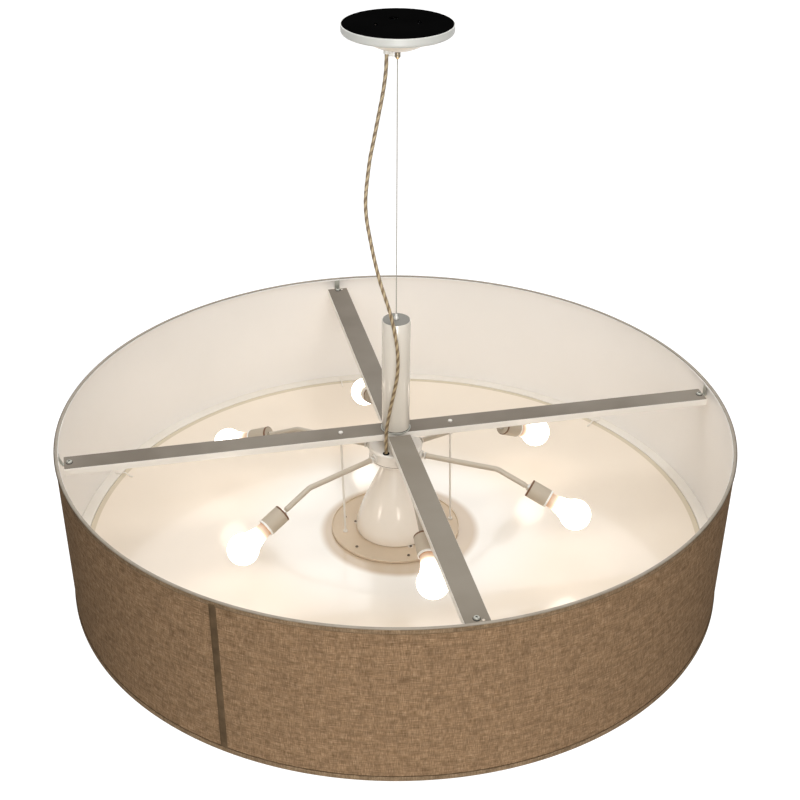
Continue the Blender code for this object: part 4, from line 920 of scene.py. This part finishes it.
for number, seat in enumerate(seats, start=1):
    holder = spun_mesh(f"holder_{number}", [(0.0, -0.0075), (0.0040, -0.0075), (0.0040, 0.0),
                                            (0.0148, 0.0)]
                       + arc((0.0153, 0.0012), 0.0012, -90.0, 0.0, 5)
                       + [(socket_r, 0.0028), (0.0161, 0.0031), (0.0161, 0.0034),
                          (socket_r, 0.0037), (socket_r, 0.0376), (0.0163, 0.0381),
                          (socket_r, 0.0386), (socket_r, 0.0398)]
                       + arc((0.0155, 0.0406), 0.0010, 0.0, 90.0, 4)
                       + [(0.0142, mouth), (mouth_r, 0.0408), (mouth_r, 0.0120), (0.0, 0.0120)],
                       56)
    paint_faces(holder, (cream_plastic, copper_and_gap_shade, white_nylon), socket_tone)
    finish_piece(f"holder_{number}", holder, None, "cream_plastic", [f"socket_{number}"],
                 matrix=seat)
    swept(f"holder_nut_{number}", [(0.0, 0.0, -0.0035), (0.0, 0.0, -0.0001)],
          ring_section(nut_corner, 6), bright_steel, "zinc_steel", matrix=seat)


# Bulbs. Frosted glass globes on threaded steel caps, lit: brightest over the globe, warmer and
# dimmer down the neck. A globe's object keeps the bulb's axis as its own Z, which the glow reads.
def build_lit_glass():
    """Frosted lit glass, from the height above the socket's foot."""
    made, tree, shader = new_material("lit_glass")
    place = node(tree, "TexCoord").outputs["Object"]
    height = node(tree, "SeparateXYZ", [(0, place)]).outputs["Z"]
    level = spread(tree, height, mouth, 0.0715, curve="SMOOTHSTEP")
    grain = node(tree, "TexNoise", [("Vector", place), ("Scale", 600.0), ("Detail", 2.0)])
    warm = ramp(tree, level, (1.0, 0.36, 0.11), (1.0, 0.905, 0.81), (0.08, (1.0, 0.64, 0.38)),
                (0.5, (1.0, 0.86, 0.70)))
    strength = maths(tree, "MULTIPLY_ADD", maths(tree, "POWER", level, 1.8), 4.75, 0.34)
    feed(tree, shader, [
        ("Emission Color", warm), ("Emission Strength", strength),
        ("Normal", bumped(tree, 0.1, 0.0002, grain.outputs["Fac"])),
        ("Base Color", (0.40, 0.33, 0.26, 1.0)), ("Roughness", 0.35)])
    return made


lit_glass = build_lit_glass()
cap_outline = [(0.0, 0.0158), (0.0040, 0.0158), (0.0042, 0.0168), (0.0118, 0.0222)]
for k in range(9):
    z = 0.0236 + 0.0019 * k
    cap_outline += [(0.01225, z), (0.0128, z + 0.00045), (0.0130, z + 0.0009), (0.0128, z + 0.0014)]
cap_outline += [(0.0131, 0.0412), (0.0, 0.0412)]
globe_r, globe_at, meet = 0.0280, mouth + 0.0538, math.radians(-40.0)
neck_x, neck_z = globe_r * math.cos(meet), globe_at + globe_r * math.sin(meet)
glass_outline = [(0.0, 0.0412), (0.0128, 0.0412)]
glass_outline += bezier(((0.0131, mouth), (0.0137, mouth + 0.0120),
                         (neck_x + 0.0075 * math.sin(meet), neck_z - 0.0075 * math.cos(meet)),
                         (neck_x, neck_z)), 12)
glass_outline += arc((0.0, globe_at), globe_r, -40.0, 90.0, 30)[1:-1] + [(0.0, globe_at + globe_r)]
for number, seat in enumerate(seats, start=1):
    spun(f"bulb_base_{number}", cap_outline, 40, bright_steel, "bulb_glass",
         body=f"lamp_bulb_{number}", matrix=seat)
    glass = spun(f"bulb_globe_{number}", glass_outline, 56, lit_glass, "bulb_glass", body=None)
    glass.matrix_world = seat
    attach(glass, f"lamp_bulb_{number}")
    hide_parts(f"bulb_{number}")


# Studio. White all round, and a pale floor well below the light. The world is a soft plain
# level from above that the camera, reflections and glass see as white.
def seen_directly(tree):
    """Whether a ray comes from the camera, a reflection or glass."""
    rays = node(tree, "LightPath").outputs
    either = maths(tree, "MAXIMUM", rays["Is Camera Ray"], rays["Is Glossy Ray"])
    return maths(tree, "MAXIMUM", either, rays["Is Transmission Ray"])


world = bpy.data.worlds.new("studio")
scene.world = world
world.use_nodes = True
tree = world.node_tree
tree.nodes.clear()
facing = node(tree, "VectorMath", enumerate((node(tree, "TexCoord").outputs["Generated"],
                                             (-0.10, -0.36, 0.928))), operation="DOT_PRODUCT")
front = maths(tree, "MAXIMUM", facing.outputs["Value"], 0.0)
plain = maths(tree, "MULTIPLY_ADD", maths(tree, "MULTIPLY", front, front), 0.60, 0.10)
soft = node(tree, "Background", [("Color", (1.0, 1.0, 0.99, 1.0)), ("Strength", plain)])
white = node(tree, "Background", [("Color", (1.0, 1.0, 1.0, 1.0)), ("Strength", 1.0)])
mixed = node(tree, "MixShader", enumerate((seen_directly(tree), soft.outputs[0],
                                           white.outputs[0])))
node(tree, "OutputWorld", [("Surface", mixed.outputs[0])])

floor_white, tree, shader = new_material("floor_white")
feed(tree, shader, [("Base Color", (0.2, 0.2, 0.2, 1.0)), ("Roughness", 0.9)])
white = node(tree, "Emission", [("Color", (1.0, 1.0, 1.0, 1.0)), ("Strength", 1.0)])
both = node(tree, "AddShader", enumerate((shader.outputs[0], white.outputs[0])))
mixed = node(tree, "MixShader", enumerate((seen_directly(tree), shader.outputs[0],
                                           both.outputs[0])))
feed(tree, tree.nodes["Material Output"], [("Surface", mixed.outputs[0])])
reach, floor_z = 9.0, -1.9
floor_mesh = new_mesh("floor", [(-reach, -reach, floor_z), (reach, -reach, floor_z),
                                (reach, reach, floor_z), (-reach, reach, floor_z)], [(0, 1, 2, 3)])
floor_mesh.materials.append(floor_white)
floor = bpy.data.objects.new("floor", floor_mesh)
scene.collection.objects.link(floor)

# Studio lamps. Four broad soft lamps, all aimed at the drum's middle, add no more than a plain
# level.
aim = Vector((0.0, 0.0, -0.85))
for name, at, size, power in (("lamp_front", (-0.55, -3.3, 1.4), 2.8, 55.0),
                              ("lamp_back", (0.8, 3.6, 1.2), 3.0, 28.0),
                              ("lamp_top", (0.0, 0.0, 1.5), 1.8, 26.0),
                              ("lamp_low", (-0.4, -3.0, -1.2), 1.2, 39.0)):
    light = bpy.data.lights.new(name, "AREA")
    light.energy = power
    light.size = size
    light.color = (1.0, 0.99, 0.97)
    lamp = bpy.data.objects.new(name, light)
    lamp.location = at
    lamp.rotation_euler = (aim - Vector(at)).to_track_quat("-Z", "Y").to_euler()
    scene.collection.objects.link(lamp)
